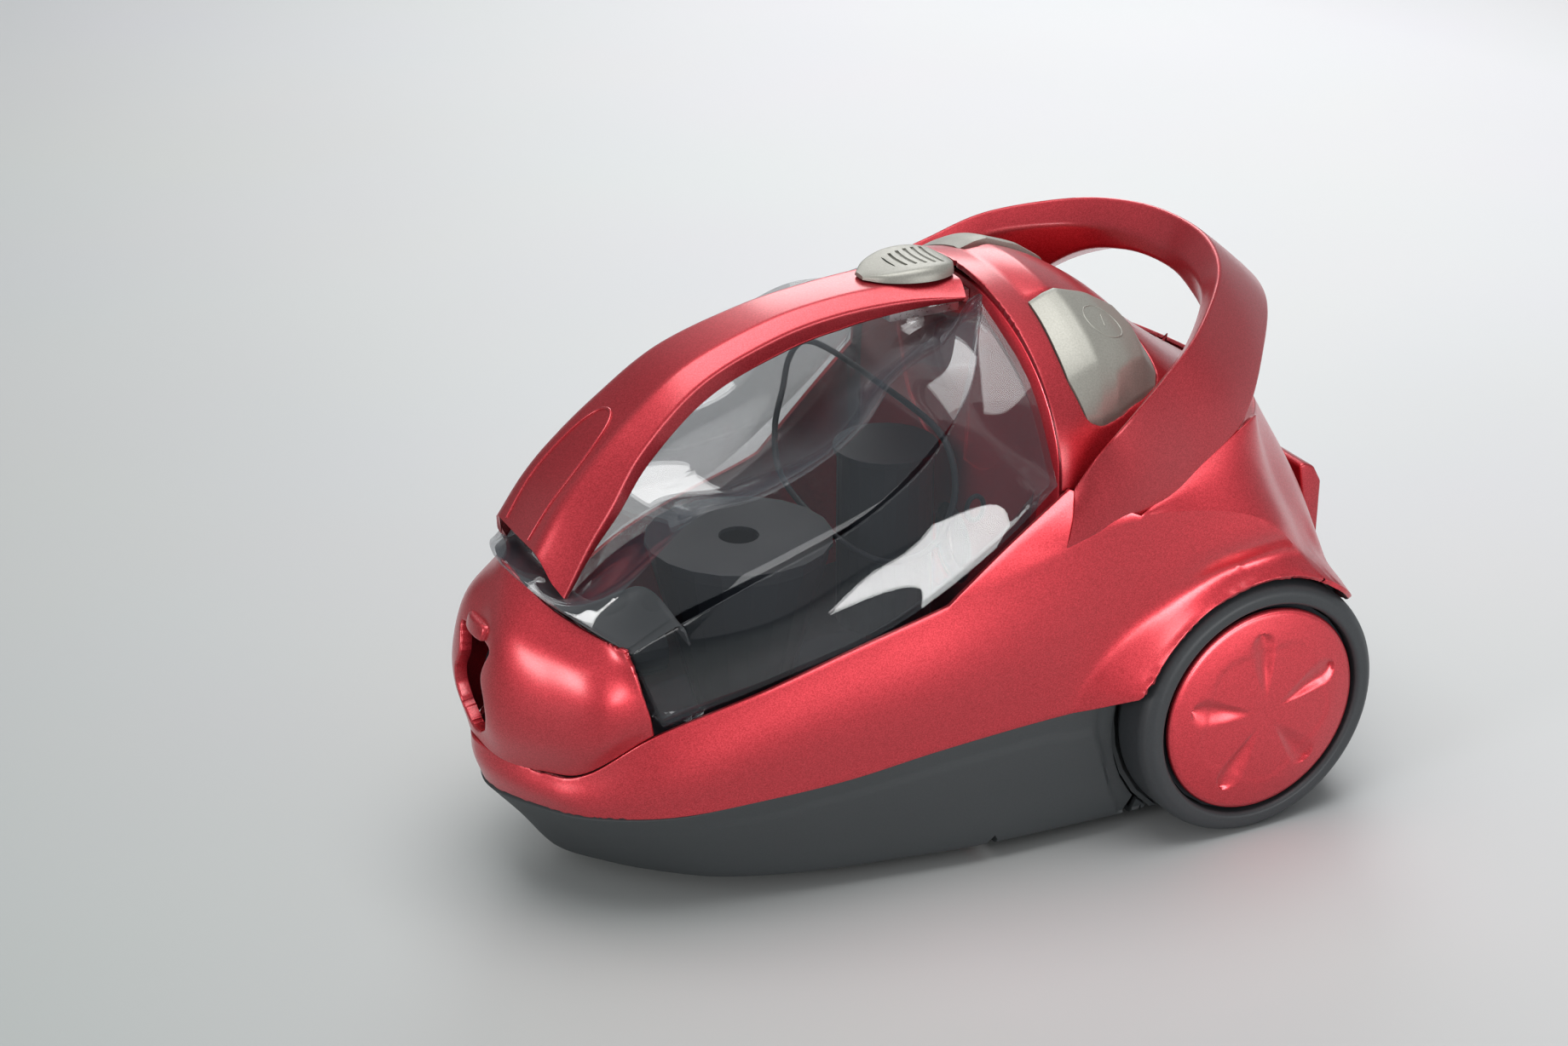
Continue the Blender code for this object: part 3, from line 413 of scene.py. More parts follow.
def settled(obj, angle=35):
    """Applies an object's modifiers, and removes the cutters that they used."""
    cutters = [m.object for m in obj.modifiers if m.type == "BOOLEAN"]
    graph = bpy.context.evaluated_depsgraph_get()
    data = bpy.data.meshes.new_from_object(obj.evaluated_get(graph))
    obj.modifiers.clear()
    obj.data = data
    for cutter in cutters:
        bpy.data.objects.remove(cutter, do_unlink=True)
    shade(obj, angle)
    return obj


def cut(obj, cutter, operation="DIFFERENCE", solver="EXACT"):
    made = obj.modifiers.new("cut", "BOOLEAN")
    made.object, made.operation, made.solver = cutter, operation, solver


def rounded(obj, width, segments=3, angle=30):
    made = obj.modifiers.new("edges", "BEVEL")
    made.width, made.segments = width * MM, segments
    made.limit_method, made.angle_limit = "ANGLE", math.radians(angle)
    return obj


def loft(sections, closed):
    """A mesh through sections with the same number of points, with a face over each end."""
    mesh = bmesh.new()
    verts = [[mesh.verts.new(np.array(point) * MM) for point in ring] for ring in sections]
    for low, high in zip(verts, verts[1:]):
        for i in range(len(low) if closed else len(low) - 1):
            j = (i + 1) % len(low)
            mesh.faces.new((low[i], low[j], high[j], high[i]))
    mesh.faces.new(verts[0])
    mesh.faces.new(verts[-1])
    return mesh


def rings(name, sections, angle=35):
    """A solid through closed sections."""
    mesh = loft(sections, closed=True)
    bmesh.ops.recalc_face_normals(mesh, faces=mesh.faces[:])
    return as_object(name, mesh, angle)


def prism(name, outline, low, high, axis):
    order = {"X": lambda a, b, h: (h, a, b), "Y": lambda a, b, h: (a, h, b),
             "Z": lambda a, b, h: (a, b, h)}[axis]
    return rings(name, [[order(a, b, h) for a, b in outline] for h in (low, high)])


def mirrored_sections(name, sections, inside, angle=35):
    """A closed solid, symmetric about X = 0, from half sections that start and end on that plane."""
    mesh = loft(sections, closed=False)
    mirror_half(mesh)
    bmesh.ops.recalc_face_normals(mesh, faces=mesh.faces[:])
    facing_out(mesh, inside)
    return as_object(name, mesh, angle)


def turned(name, profile, centre, steps, relief=None, side=1):
    """A closed profile of (radius, height) turned about an axis along X through centre."""
    mesh = bmesh.new()
    columns = []
    for k in range(steps):
        turn = 2 * math.pi * k / steps
        column = []
        for r, h in profile:
            lift = relief(r, turn, h) if relief else 0.0
            column.append(mesh.verts.new(Vector((centre[0] + side * (h + lift),
                                                 centre[1] + r * math.cos(turn),
                                                 centre[2] + r * math.sin(turn))) * MM))
        columns.append(column)
    for k in range(steps):
        near, far = columns[k], columns[(k + 1) % steps]
        for i in range(len(profile)):
            j = (i + 1) % len(profile)
            mesh.faces.new((near[i], far[i], far[j], near[j]))
    bmesh.ops.remove_doubles(mesh, verts=mesh.verts[:], dist=1e-6)
    bmesh.ops.dissolve_degenerate(mesh, edges=mesh.edges[:], dist=1e-7)
    bmesh.ops.recalc_face_normals(mesh, faces=mesh.faces[:])
    return as_object(name, mesh, 40)


def wire(name, points, radius, closed=False):
    """A round bead along points in millimetres, as a mesh."""
    data = bpy.data.curves.new(name, "CURVE")
    data.dimensions = "3D"
    data.bevel_depth = radius * MM
    data.bevel_resolution = 3
    data.use_fill_caps = not closed
    line = data.splines.new("POLY")
    line.points.add(len(points) - 1)
    for point, place in zip(line.points, points):
        point.co = (*(float(value) * MM for value in place), 1.0)
    line.use_cyclic_u = closed
    curve = bpy.data.objects.new(name, data)
    bpy.context.scene.collection.objects.link(curve)
    graph = bpy.context.evaluated_depsgraph_get()
    mesh = bmesh.new()
    mesh.from_mesh(bpy.data.meshes.new_from_object(curve.evaluated_get(graph)))
    bmesh.ops.remove_doubles(mesh, verts=mesh.verts[:], dist=1e-6)
    bmesh.ops.recalc_face_normals(mesh, faces=mesh.faces[:])
    bpy.data.objects.remove(curve, do_unlink=True)
    return as_object(name, mesh, 60)


# ---------------------------------------------------------------- guide lines of the casing and the strap

KEEL = [(0, -187, 13), (29, -168, 12), (53, -143, 12), (67, -121, 12), (79, -86, 12), (87, -44, 12),
        (94, 0, 12), (97, 47, 12), (99, 90, 12), (99, 140, 12), (97, 190, 12), (84, 212, 13),
        (46, 222, 14), (0, 224, 14)]
PARTING = [(0, -219, 56), (42, -202, 57), (64, -181, 58), (80, -152, 60), (90, -113, 64),
           (95, -71, 67), (99, -27, 73), (103, 25, 78), (107, 70, 81), (108, 140, 82),
           (105, 188, 82), (88, 206, 82), (50, 220, 82), (0, 224, 82)]
BAND_MIDDLE = [(0, -223, 68), (42, -205, 66), (63, -185, 68), (82, -155, 80), (95, -113, 94),
               (101, -71, 103), (105, -26, 113), (110, 26, 125), (114, 66, 134), (126, 140, 132),
               (119, 184, 106), (93, 204, 98), (53, 219, 97), (0, 223, 97)]
BAND_TOP = [(0, -224, 79), (39, -204, 75), (56, -189, 79), (74, -162, 101), (92, -114, 122),
            (98, -73, 136), (102, -25, 150), (112, 28, 171), (121, 66, 186), (126, 130, 174),
            (121, 184, 122), (94, 202, 112), (54, 217, 112), (0, 221, 112)]
TANK_CORNER = [(102, -25, 150), (105, 3, 175), (109, 34, 201)]
SHOULDER_MIDDLE = [(121, 66, 186), (114, 126, 196), (98, 163, 170), (74, 190, 160), (40, 207, 153),
                   (0, 212, 150)]
SHOULDER_TOP = [(121, 66, 186), (106, 133, 214), (86, 152, 208), (60, 170, 205), (30, 180, 203),
                (0, 184, 202)]
CAP_ROWS = [
    [(0, -223, 81), (22, -218, 78), (40, -204, 77), (56.5, -189.5, 81), (73, -163.5, 102)],
    [(0, -224, 100), (26, -223, 98), (52, -206, 98), (69, -188, 102), (76, -166, 112)],
    [(0, -224, 118), (27, -222.5, 118), (54, -205, 118), (71, -188, 120), (76, -169, 123)],
    [(0, -216, 145), (24, -216, 143), (45, -203, 139), (63, -189, 136), (74, -172, 135)],
    [(0, -205, 167), (20, -201, 162), (36, -194, 155), (55, -183, 149), (70, -175, 146)],
]
DECK_EDGE = [(106, 32, 200), (107, 55, 196), (103, 80, 205), (95, 105, 214), (84, 128, 214),
             (68, 152, 208), (46, 168, 204), (28, 176, 202)]
DECK_CREST = [(0, 32, 279), (0, 55, 276), (0, 80, 267), (0, 105, 252), (0, 128, 235),
              (0, 152, 218), (0, 168, 208), (0, 180, 201)]
STRAP_CREST = [(0, -199, 182), (0, -187, 200), (0, -173, 215), (0, -151, 234), (0, -119, 256),
               (0, -77, 270), (0, -41, 276), (0, -5, 278), (0, 25, 277)]
STRAP_EDGE = [(41, -186, 170), (38, -176, 187), (36, -165, 202), (31, -147, 225), (26, -115, 250),
              (22, -75, 264), (21, -40, 270), (24, -5, 272), (31, 21, 272)]
STRAP_DEPTH = [3, 5, 7, 9, 10, 10, 9, 6, 2.5]
HOOP_OUTER_TOP = [(110, 36, 203), (117, 42, 219), (122, 52, 234), (112, 81, 250), (98, 108, 264),
                  (66, 140, 276), (34, 156, 281), (0, 161, 282)]
HOOP_INNER_TOP = [(108, 38, 200), (111, 44, 213), (112, 56, 226), (103, 82, 242), (90, 106, 254),
                  (60, 134, 263), (30, 147, 268), (0, 152, 268)]
HOOP_INNER_LOW = [(109, 36, 180), (109, 57, 193), (109, 77, 200), (103, 97, 209), (94, 118, 218),
                  (62, 138, 246), (30, 146, 257), (0, 150, 259)]
HOOP_OUTER_LOW = [(113, 31, 172), (118, 52, 181), (119, 76, 187), (115, 100, 196.5), (105, 133, 215),
                  (80, 160, 237), (42, 187, 249), (0, 197, 252)]


# ---------------------------------------------------------------- casing

CREASE_TURNS = (68, 83, 100, 118, 140, 156, 168)
CREASE_RADII = (79, 80, 79, 81.5, 88.5, 93.5, 96)
SCOOP_DEPTH = 8  # how deep the side dips at its crease
SCOOP_REACH = 11  # how slowly the dip fades outside the crease
FOOT_RISE = 11  # how much the arch's front foot is raised
WELL_RADIUS = ARCH_RADIUS + 0.5
WELL_FRONT_Y = 93.4


def arch(x, y, z):
    return max(math.hypot(y - AXLE_Y, z - AXLE_Z) - ARCH_RADIUS, WELL_X - abs(x))


def well(x, y, z):
    """A wheel well in the tray: round over the wheel and in front of it, straight down behind."""
    behind = max(WELL_FRONT_Y - y, y - AXLE_Y - WELL_RADIUS, z - AXLE_Z)
    return max(min(math.hypot(y - AXLE_Y, z - AXLE_Z) - WELL_RADIUS, behind), WELL_X - abs(x))


def flare(mesh):
    """The scoop over each wheel: the side dips to a crease and then flares out to the arch's lip."""
    for vert in mesh.verts:
        x, y, z = vert.co / MM
        radius = math.hypot(y - AXLE_Y, z - AXLE_Z)
        turn = math.degrees(math.atan2(z - AXLE_Z, y - AXLE_Y))
        if abs(x) < FLARE_X or turn < 0:
            continue
        crease = float(np.interp(turn, CREASE_TURNS, CREASE_RADII))
        dip = SCOOP_DEPTH * ease((130 - turn) / 32) * ease((turn - 34) / 30) * ease((abs(x) - 86) / 16)
        side = abs(x)
        if radius >= crease:
            side -= dip * math.exp(-(((radius - crease) / SCOOP_REACH) ** 2))
        else:
            share = (crease - radius) / max(1.0, crease - ARCH_RADIUS)
            lip = side + (ARCH_LIP_X - side) * ease((turn - 24) / 34) * ease((abs(x) - WELL_X) / 14)
            side = (side - dip) * (1 - share) + lip * share
            vert.co.z += FOOT_RISE * MM * share * ease((turn - 150) / 22)
        vert.co.x = math.copysign(side * MM, x)
    near = [vert for vert in mesh.verts if abs(vert.co.x) > FLARE_X * MM and not vert.is_boundary
            and 72 < math.hypot(vert.co.y / MM - AXLE_Y, vert.co.z / MM - AXLE_Z) < 104
            and vert.co.z > AXLE_Z * MM]
    for _ in range(2):
        bmesh.ops.smooth_vert(mesh, verts=near, factor=0.5, use_axis_x=True)


def filter_window(x, y, z):
    """The window behind the exhaust door, with round corners, 68 mm wide and 29 mm high."""
    return max(math.hypot(max(0, abs(x) - 31), max(0, abs(z - 128.5) - 11.5)) - 3, 200 - y)


def body_shell():
    along = 22
    band = relax(skin([PARTING, BAND_MIDDLE, BAND_TOP], along, 18), 6)
    top = smooth(BAND_TOP, along)
    corner = np.linspace(top[6 * along:8 * along + 1], smooth(TANK_CORNER, along), 6)
    shoulder = smooth([top[8 * along:], smooth(SHOULDER_MIDDLE, along), smooth(SHOULDER_TOP, along)], 12)
    mesh = open_surface([band, corner, relax(shoulder, 4)], (0, 20, 100))
    trim(mesh, arch)
    trim(mesh, filter_window)
    flare(mesh)
    thicken(mesh, WALL, edge=0.6)
    for vert in mesh.verts:
        vert.co.x = max(-LIP_LIMIT * MM, min(LIP_LIMIT * MM, vert.co.x))
    finish(as_object("body_shell_detail", mesh), "satin_red", "root", "body_shell")


# The side panel's rear step and top edge, as (y, z) points.
PANEL_STEP = np.array([(57, 66), (61, 56), (66, 37), (76, 13)])
PANEL_TOP = np.array([(-150, 50), (-100, 54), (-27, 62), (20, 66), (57, 66)])


def tray_relief(mesh):
    """The raised side panel of the tray: behind and above it the wall sits a little further in."""
    for vert in mesh.verts:
        x, y, z = vert.co / MM
        if abs(x) < 50 or z < 12 or y > 120:
            continue
        behind = y - float(np.interp(-z, -PANEL_STEP[:, 1], PANEL_STEP[:, 0]))
        above = z - float(np.interp(y, PANEL_TOP[:, 0], PANEL_TOP[:, 1]))
        depth = max(1.3 * ease(behind / 1.6), 0.5 * ease(above / 1.2)) * ease((y + 170) / 60)
        if depth:
            vert.co.x = math.copysign((abs(x) - depth) * MM, x)


def base_tray():
    lower = [(x * 0.86, y * 0.94 if y < 0 else y - 8 if y > 200 else y, 9) for x, y, z in KEEL]
    middle = [(0.5 * (a[0] + b[0]) + 1.5 * (a[0] > 0), 0.5 * (a[1] + b[1]), 0.5 * (a[2] + b[2]))
              for a, b in zip(KEEL, PARTING)]
    top = [(x, y, z - 0.5 - 1.5 * max(0.0, -y - 100) / 119) for x, y, z in PARTING]
    hull = relax(skin([lower, KEEL, middle, top], 22, 14), 2)
    floor = np.linspace(np.linspace(hull[0][0], hull[0][-1], len(hull[0])), hull[0], 6)
    mesh = open_surface([floor, hull], (0, 0, 60))
    tray_relief(mesh)
    trim(mesh, well)
    thicken(mesh, 2.6, edge=0.4)
    tray = as_object("base_tray_detail", mesh)
    cutters = [prism("castor_hole", circle((0, -112), 27.5), -5, 30, "Z")]
    for side in (1, -1):
        low, high = sorted((side * 80, side * 112))
        tall = [(87, 27), (85.5, 24), (81, 14), (80, 4), (84.5, 4), (87.4, 18)]
        short = [(91.4, 13), (88.5, 9), (87, 4), (91, 4)]
        for name, outline in (("slot_tall", tall), ("slot_short", short)):
            cutters.append(prism(f"{name}_{side}", outline, low, high, "X"))
        notch = [(8, 16), (5.4, 12.5), (4.4, 4), (11, 4), (10.2, 12.5)]
        cutters.append(prism(f"notch_{side}", notch, low - 10 * (side > 0), high + 10 * (side < 0), "X"))
    for cutter in cutters:
        cut(tray, cutter, solver="MANIFOLD")
    finish(settled(tray), "charcoal_plastic", "root", "base_tray")


def closed_outline(half):
    """A smooth closed outline, symmetric in its first coordinate, from its right half."""
    line = smooth([(x, 0, z) for x, z in half], 6)[:, [0, 2]]
    return np.concatenate([line, line[::-1][1:-1] * (-1, 1)])


OPENING = closed_outline([(0, 84), (8, 85.7), (15, 90.8), (19.2, 98.4), (20, 104), (19, 110.5), (15.6, 116.6),
                          (14.4, 120.5), (16, 126), (18.6, 131.4), (18.2, 134.2), (15, 135.4), (8, 135.8),
                          (0, 135.8)])


def outline_distance(outline):
    """A function that gives how far a point lies outside a closed outline."""
    start, end = outline, np.roll(outline, -1, axis=0)
    side = end - start
    length = (side**2).sum(axis=1)

    def distance(a, b):
        point = np.array((a, b))
        share = np.clip(((point - start) * side).sum(axis=1) / length, 0, 1)
        away = np.linalg.norm(start + side * share[:, None] - point, axis=1).min()
        crossing = (start[:, 1] > b) != (end[:, 1] > b)
        cross_at = start[:, 0] + (b - start[:, 1]) / np.where(side[:, 1] == 0, 1e-9, side[:, 1]) * side[:, 0]
        return -away if (crossing & (a < cross_at)).sum() % 2 else away

    return distance


def grown(outline, amount):
    middle = outline.mean(axis=0)
    out = outline - middle
    return middle + out * (1 + amount / np.linalg.norm(out, axis=1))[:, None]


def nose_cap():
    mesh = open_surface([relax(skin(CAP_ROWS, 22, 20), 4)], (0, -150, 115))
    opening = outline_distance(OPENING)
    trim(mesh, lambda x, y, z: max(opening(x, z), y + 190))

    def depth(place):
        return WALL + 3.5 * ease(1 - opening(place.x, place.z) / 12)

    thicken(mesh, depth, edge=1.1)
    finish(as_object("nose_cap_detail", mesh), "satin_red", "root", "nose_cap")
    sections = []
    for height, grow in ((134.6, -0.9), (135.3, 0.0), (138.5, 0.5), (141.2, 0.0), (142.0, -1.0)):
        lean = (height - 135) * 0.28
        outline = [(10.5, -211), (10.5, -220.0), (9.2, -221.9), (5, -222.8), (0, -223.1)]
        outline += [(-x, y) for x, y in outline[::-1][1:]]
        wide, back = 1 + grow / 10.5, lean - min(grow, 0.0) * 0.8
        sections.append([(x * wide, y + back, height) for x, y in outline])
    tab = rounded(rings("nose_release_tab", sections), 0.5, 2)
    finish(settled(tab, 40), "satin_red", "root")


def hose_socket():
    """The black socket behind the hose opening, with a closed flap at its back."""
    outer = grown(OPENING, 3.0)
    turns = np.arctan2(outer[:, 1] - SOCKET_Z, outer[:, 0])

    def ring(radius, y):
        return [(radius * math.cos(t), y, SOCKET_Z + radius * math.sin(t)) for t in turns]

    def plate(y):
        return [(x, y, z) for x, z in outer]

    sections = [ring(18.4, -198), ring(18.4, -203), plate(-203), plate(-205.5), ring(18.6, -206),
                ring(18.6, -209.6), ring(17.2, -210.6), ring(16.2, -209.6), ring(15.8, -200)]
    finish(rings("hose_socket_detail", sections), "dark_plastic", "root", "hose_socket")


def deck_height(x, y):
    rows, crest = np.array(DECK_EDGE), np.array(DECK_CREST)
    half = np.interp(y, rows[:, 1], rows[:, 0])
    low = np.interp(y, rows[:, 1], rows[:, 2])
    high = np.interp(y, crest[:, 1], crest[:, 2])
    return float(low + (high - low) * math.sqrt(max(0.0, 1 - (x / half) ** 2)))


PEDAL = [  # rows from the inner end to the outer end: front edge, ridge, middle, back ridge, back edge
    [(45, 46.7, 1.0), (43.5, 61.4, 8.0), (42.5, 76, 8.0), (41.5, 95, 6.8), (41, 100, 0.5)],
    [(58, 46.2, 1.0), (60, 62, 8.0), (60, 76, 8.0), (58, 96, 6.8), (58, 101, 0.5)],
    [(74, 45.2, 1.0), (75.5, 62, 8.0), (76, 75, 8.0), (70, 93.5, 6.8), (71, 99.5, 0.5)],
    [(86, 45.0, 1.0), (85, 61.6, 8.0), (88.3, 70.3, 8.0), (79.1, 90.5, 6.8), (80, 97.5, 0.5)],
    [(97.5, 49.0, 0.3), (98.9, 57, 0.5), (97.0, 67, 0.5), (91.4, 83.4, 0.5), (86, 93.5, 0.3)],
]
INNER_END = [(22, 46.7, 1.0), (20.5, 61.4, 8.0), (19.5, 76, 8.0), (19, 92, 6.8), (19, 97, 0.5)]


def spread(grid, steps):
    """Straight runs between the points of a grid, along both of its directions."""
    for _ in range(2):
        stations = np.linspace(0, len(grid) - 1, steps * (len(grid) - 1) + 1)
        low = np.minimum(stations.astype(int), len(grid) - 2)
        share = (stations - low)[:, None, None]
        grid = np.swapaxes(grid[low] * (1 - share) + grid[low + 1] * share, 0, 1)
    return grid


def pedal_rows(side):
    """The right pedal starts further out than the left one, past the red rib between them."""
    return np.array(PEDAL if side > 0 else [INNER_END] + PEDAL[1:], float)


def pedal_outline(side):
    rows = pedal_rows(side)[:, :, :2]
    return np.concatenate([rows[:-1, 0], rows[-1, :-1], rows[::-1][:-1, -1], rows[0, ::-1][:-1]])


def rounded_line(points, radius):
    """A closed outline with its corners rounded."""
    flat = eased_ring([(x, y, 0) for x, y in points], radius, 4)
    return np.array(flat)[:, :2]


def pedal_deck():
    """The red deck, with a window round each pedal and a raised rib between the two."""
    edge, crest = smooth(DECK_EDGE, 16), smooth(DECK_CREST, 16)
    rows = []
    for share in np.linspace(0, 1, 97):
        turn = math.pi / 2 * share
        row = edge * (math.cos(turn), 1, 0)
        row[:, 1] = edge[:, 1] * (1 - share) + crest[:, 1] * share
        row[:, 2] = edge[:, 2] + (crest[:, 2] - edge[:, 2]) * math.sin(turn)
        rows.append(row)
    mesh = open_surface([np.array(rows)], (0, 100, 150))
    for side in (1, -1):
        window = outline_distance(grown(rounded_line(pedal_outline(side), 3), 1.1) * (side, 1))
        trim(mesh, lambda x, y, z: max(window(x, y), 10 - x * side, 180 - z))
    for vert in mesh.verts:
        x, y, z = vert.co / MM
        between = ease((x + 19) / 3) * ease((43 - x) / 3)
        vert.co.z += 4.2 * MM * between * np.clip((y - 46) / 14, 0, 1) * ease((112 - y) / 16)
    thicken(mesh, WALL, edge=0.5)
    finish(as_object("pedal_deck_detail", mesh, 30), "satin_red", "root", "pedal_deck")


GUTTER_OUTER = [(111, 104, 203), (105, 132, 212), (86, 151, 207), (60, 169, 204), (30, 179, 202),
                (0, 183, 201)]
GUTTER_INNER = [(99, 100, 210), (84, 124, 213), (69, 148, 208), (47, 165, 204), (28, 173, 201),
                (0, 177, 200)]


def deck_gutter():
    """The ledge between the deck and the casing's rear rim, under the hoop."""
    outer, inner = smooth(GUTTER_OUTER, 8), smooth(GUTTER_INNER, 8)
    rows = [outer + (0, 0, -1), (outer + inner) / 2 + (0, 0, -4), inner + (0, 0, -3)]
    mesh = open_surface([smooth(rows, 5)], (0, 60, 0))
    thicken(mesh, 1.5, edge=0.3)
    finish(as_object("deck_gutter", mesh), "satin_red", "root")


def pedal(name, side):
    """A faceted pedal: a front slope, a flat top and a slope down to its outer end."""
    plan = spread(pedal_rows(side), 9)
    top, low = plan.copy(), plan.copy()
    for i in range(plan.shape[0]):
        for j in range(plan.shape[1]):
            ground = deck_height(plan[i, j, 0], plan[i, j, 1])
            top[i, j, 2] = ground + plan[i, j, 2]
            low[i, j, 2] = ground - 9
    top = relax(top, 1)
    top[0, :, 2] -= 0.8
    top[0, :, 0] -= 0.3
    for grid in (top, low):
        grid[:, :, 0] *= side
    mesh = bmesh.new()
    add_grid(mesh, top)
    add_grid(mesh, low)
    for pick in (lambda g: g[0], lambda g: g[-1], lambda g: g[:, 0], lambda g: g[:, -1]):
        add_grid(mesh, np.array([pick(top), pick(low)]))
    bmesh.ops.remove_doubles(mesh, verts=mesh.verts[:], dist=1e-6)
    bmesh.ops.recalc_face_normals(mesh, faces=mesh.faces[:])
    finish(as_object(name + "_detail", mesh, 50), "silver_grey", name, name)
    return plan


def on_pedal(plan, x, y):
    """The point just inside the right-hand pedal's top at (x, y)."""
    flat = plan.reshape(-1, 3)
    near = np.argsort((flat[:, 0] - x) ** 2 + (flat[:, 1] - y) ** 2)[:6]
    weight = 1 / (0.01 + np.linalg.norm(flat[near, :2] - (x, y), axis=1))
    rise = float((flat[near, 2] * weight).sum() / weight.sum())
    return x, y, deck_height(x, y) + rise - 0.1


def pedal_marks(plan):
    """A plain ring with a short line across it, moulded on the right-hand pedal."""
    centre, radius = (64, 76.5), 9.4
    ring = [on_pedal(plan, x, y) for x, y in arc(centre, radius, 0, 355, 72)]
    finish(wire("power_pedal_ring", ring, 0.45, closed=True), "silver_grey", "power_pedal")
    line = [on_pedal(plan, centre[0] + x, centre[1] - 0.25 * x) for x in np.linspace(-3.6, 3.6, 8)]
    finish(wire("power_pedal_line", line, 0.4), "silver_grey", "power_pedal")


def bend(before, corner, after, reach, steps):
    """A rounded corner, as points: it leaves each side of the sharp one at this reach from it."""
    start, end = (corner + side / np.linalg.norm(side) * reach for side in (before - corner, after - corner))
    return [(1 - s) ** 2 * start + 2 * s * (1 - s) * corner + s * s * end
            for s in (k / steps for k in range(steps + 1))]


def eased_ring(ring, radius, steps):
    """A closed section whose corners are rounded."""
    points = [np.array(point, float) for point in ring]
    out = []
    for i, corner in enumerate(points):
        before, after = points[i - 1], points[(i + 1) % len(points)]
        reach = min(radius, 0.4 * np.linalg.norm(before - corner), 0.4 * np.linalg.norm(after - corner))
        out += bend(before, corner, after, reach, steps)
    return out


def carry_hoop():
    lines = [smooth(line, 14) for line in (HOOP_OUTER_TOP, HOOP_INNER_TOP, HOOP_INNER_LOW, HOOP_OUTER_LOW)]
    right = []
    for outer_top, inner_top, inner_low, outer_low in zip(*lines):
        middle = (outer_top + outer_low) / 2
        bow = middle + np.array([1.5, 0.5, 0])
        if outer_top[0] < 1e-6:
            bow[0] = 0
        push = (bow - middle) * 0.75
        low_bow = outer_low * 0.75 + outer_top * 0.25 + push
        high_bow = outer_low * 0.25 + outer_top * 0.75 + push
        ring = eased_ring([outer_top, inner_top, inner_low, outer_low], 2.6, 4)
        right.append(ring + [low_bow, bow, high_bow])
    left = [[point * (-1, 1, 1) for point in ring] for ring in right[::-1][1:]]
    finish(rings("carry_hoop_detail", right + left, angle=42), "satin_red", "root", "carry_hoop")


def exhaust_door():
    """The hinged door at the back: it stands proud of the casing, and its top slopes up to meet it."""
    outline = [(223, 105), (214.6, 152), (218, 153), (224, 150), (229, 141), (229, 111), (226, 105)]
    door = rounded(prism("exhaust_door_detail", outline, -43, 43, "X"), 2.0, 4, 12)
    finish(settled(door, 30), "satin_red", "exhaust_door", "exhaust_door")


RECESS = [(16, 238), (38, 243), (54, 241), (60, 232), (58, 218), (49, 196), (30, 180), (10, 178)]


def bulkhead():
    """The red wall behind the tank, with a rounded recess in its upper half."""
    outline = [(-86, 14), (86, 14), (96, 80), (99, 150), (99, 196)]
    outline += [(99 * math.cos(t), 200 + 72 * math.sin(t)) for t in np.radians(np.linspace(8, 172, 41))]
    outline += [(-99, 196), (-99, 150), (-96, 80)]
    wall = prism("bulkhead_detail", outline, 34, 37, "Y")
    half = smooth([(x, 0, z) for x, z in RECESS], 6)[:, [0, 2]]
    for side in (1, -1):
        recess = prism(f"recess_{side}", [(side * x, z) for x, z in half], 30, 35.4, "Y")
        cut(wall, recess)
    cut(wall, prism("intake_hole", circle((0, 128), 21), 20, 50, "Y"))
    rounded(wall, 0.5, 3)
    finish(settled(wall), "satin_red", "root", "bulkhead")


# ---------------------------------------------------------------- tank

TANK_FLOOR = [[(0, -150, 48), (40, -140, 48), (60, -118, 48)],
              [(60, -118, 48), (70, -80, 48), (76, -30, 48), (76, 10, 48), (72, 22, 48)],
              [(72, 22, 48), (36, 24, 48), (0, 24, 48)]]
TANK_SIDES = [[(0, -186, 100), (40, -172, 100), (66, -150, 100)],
              [(66, -150, 100), (82, -104, 108), (88, -50, 118), (90, 0, 130), (90, 24, 140)],
              [(90, 24, 140), (45, 25, 140), (0, 25, 140)]]
TANK_SHOULDER = [[(0, -194, 140), (32, -182, 132), (64, -156, 103)],
                 [(64, -156, 103), (84, -110, 121), (90, -50, 140), (94, 2, 172), (98, 25, 196)],
                 [(98, 25, 196), (45, 26, 196), (0, 26, 196)]]
TANK_RIM = [[(0, -197, 150), (36, -185, 142), (73, -158, 105)],
            [(73, -158, 105), (92.5, -106, 128), (99.2, -50, 146), (104.5, 0, 178), (106, 29, 203)],
            [(106, 29, 203), (50, 29, 210), (0, 29, 212)]]
TANK_SIDE = [[(0, -198, 158), (36, -187, 149), (72.4, -166, 127)],
             [(72.4, -166, 127), (93, -114, 150), (98, -56, 174), (97, -5, 206), (78, 29, 244)],
             [(78, 29, 244), (38, 29, 247), (0, 29, 248)]]
TANK_TOP = [[(0, -198, 165), (36, -187, 154), (67, -171, 143)],
            [(67, -171, 143), (85, -120, 173), (91, -60, 199), (81, -12, 232), (31, 29, 269)],
            [(31, 29, 269), (22, 29, 260), (0, 29, 254)]]
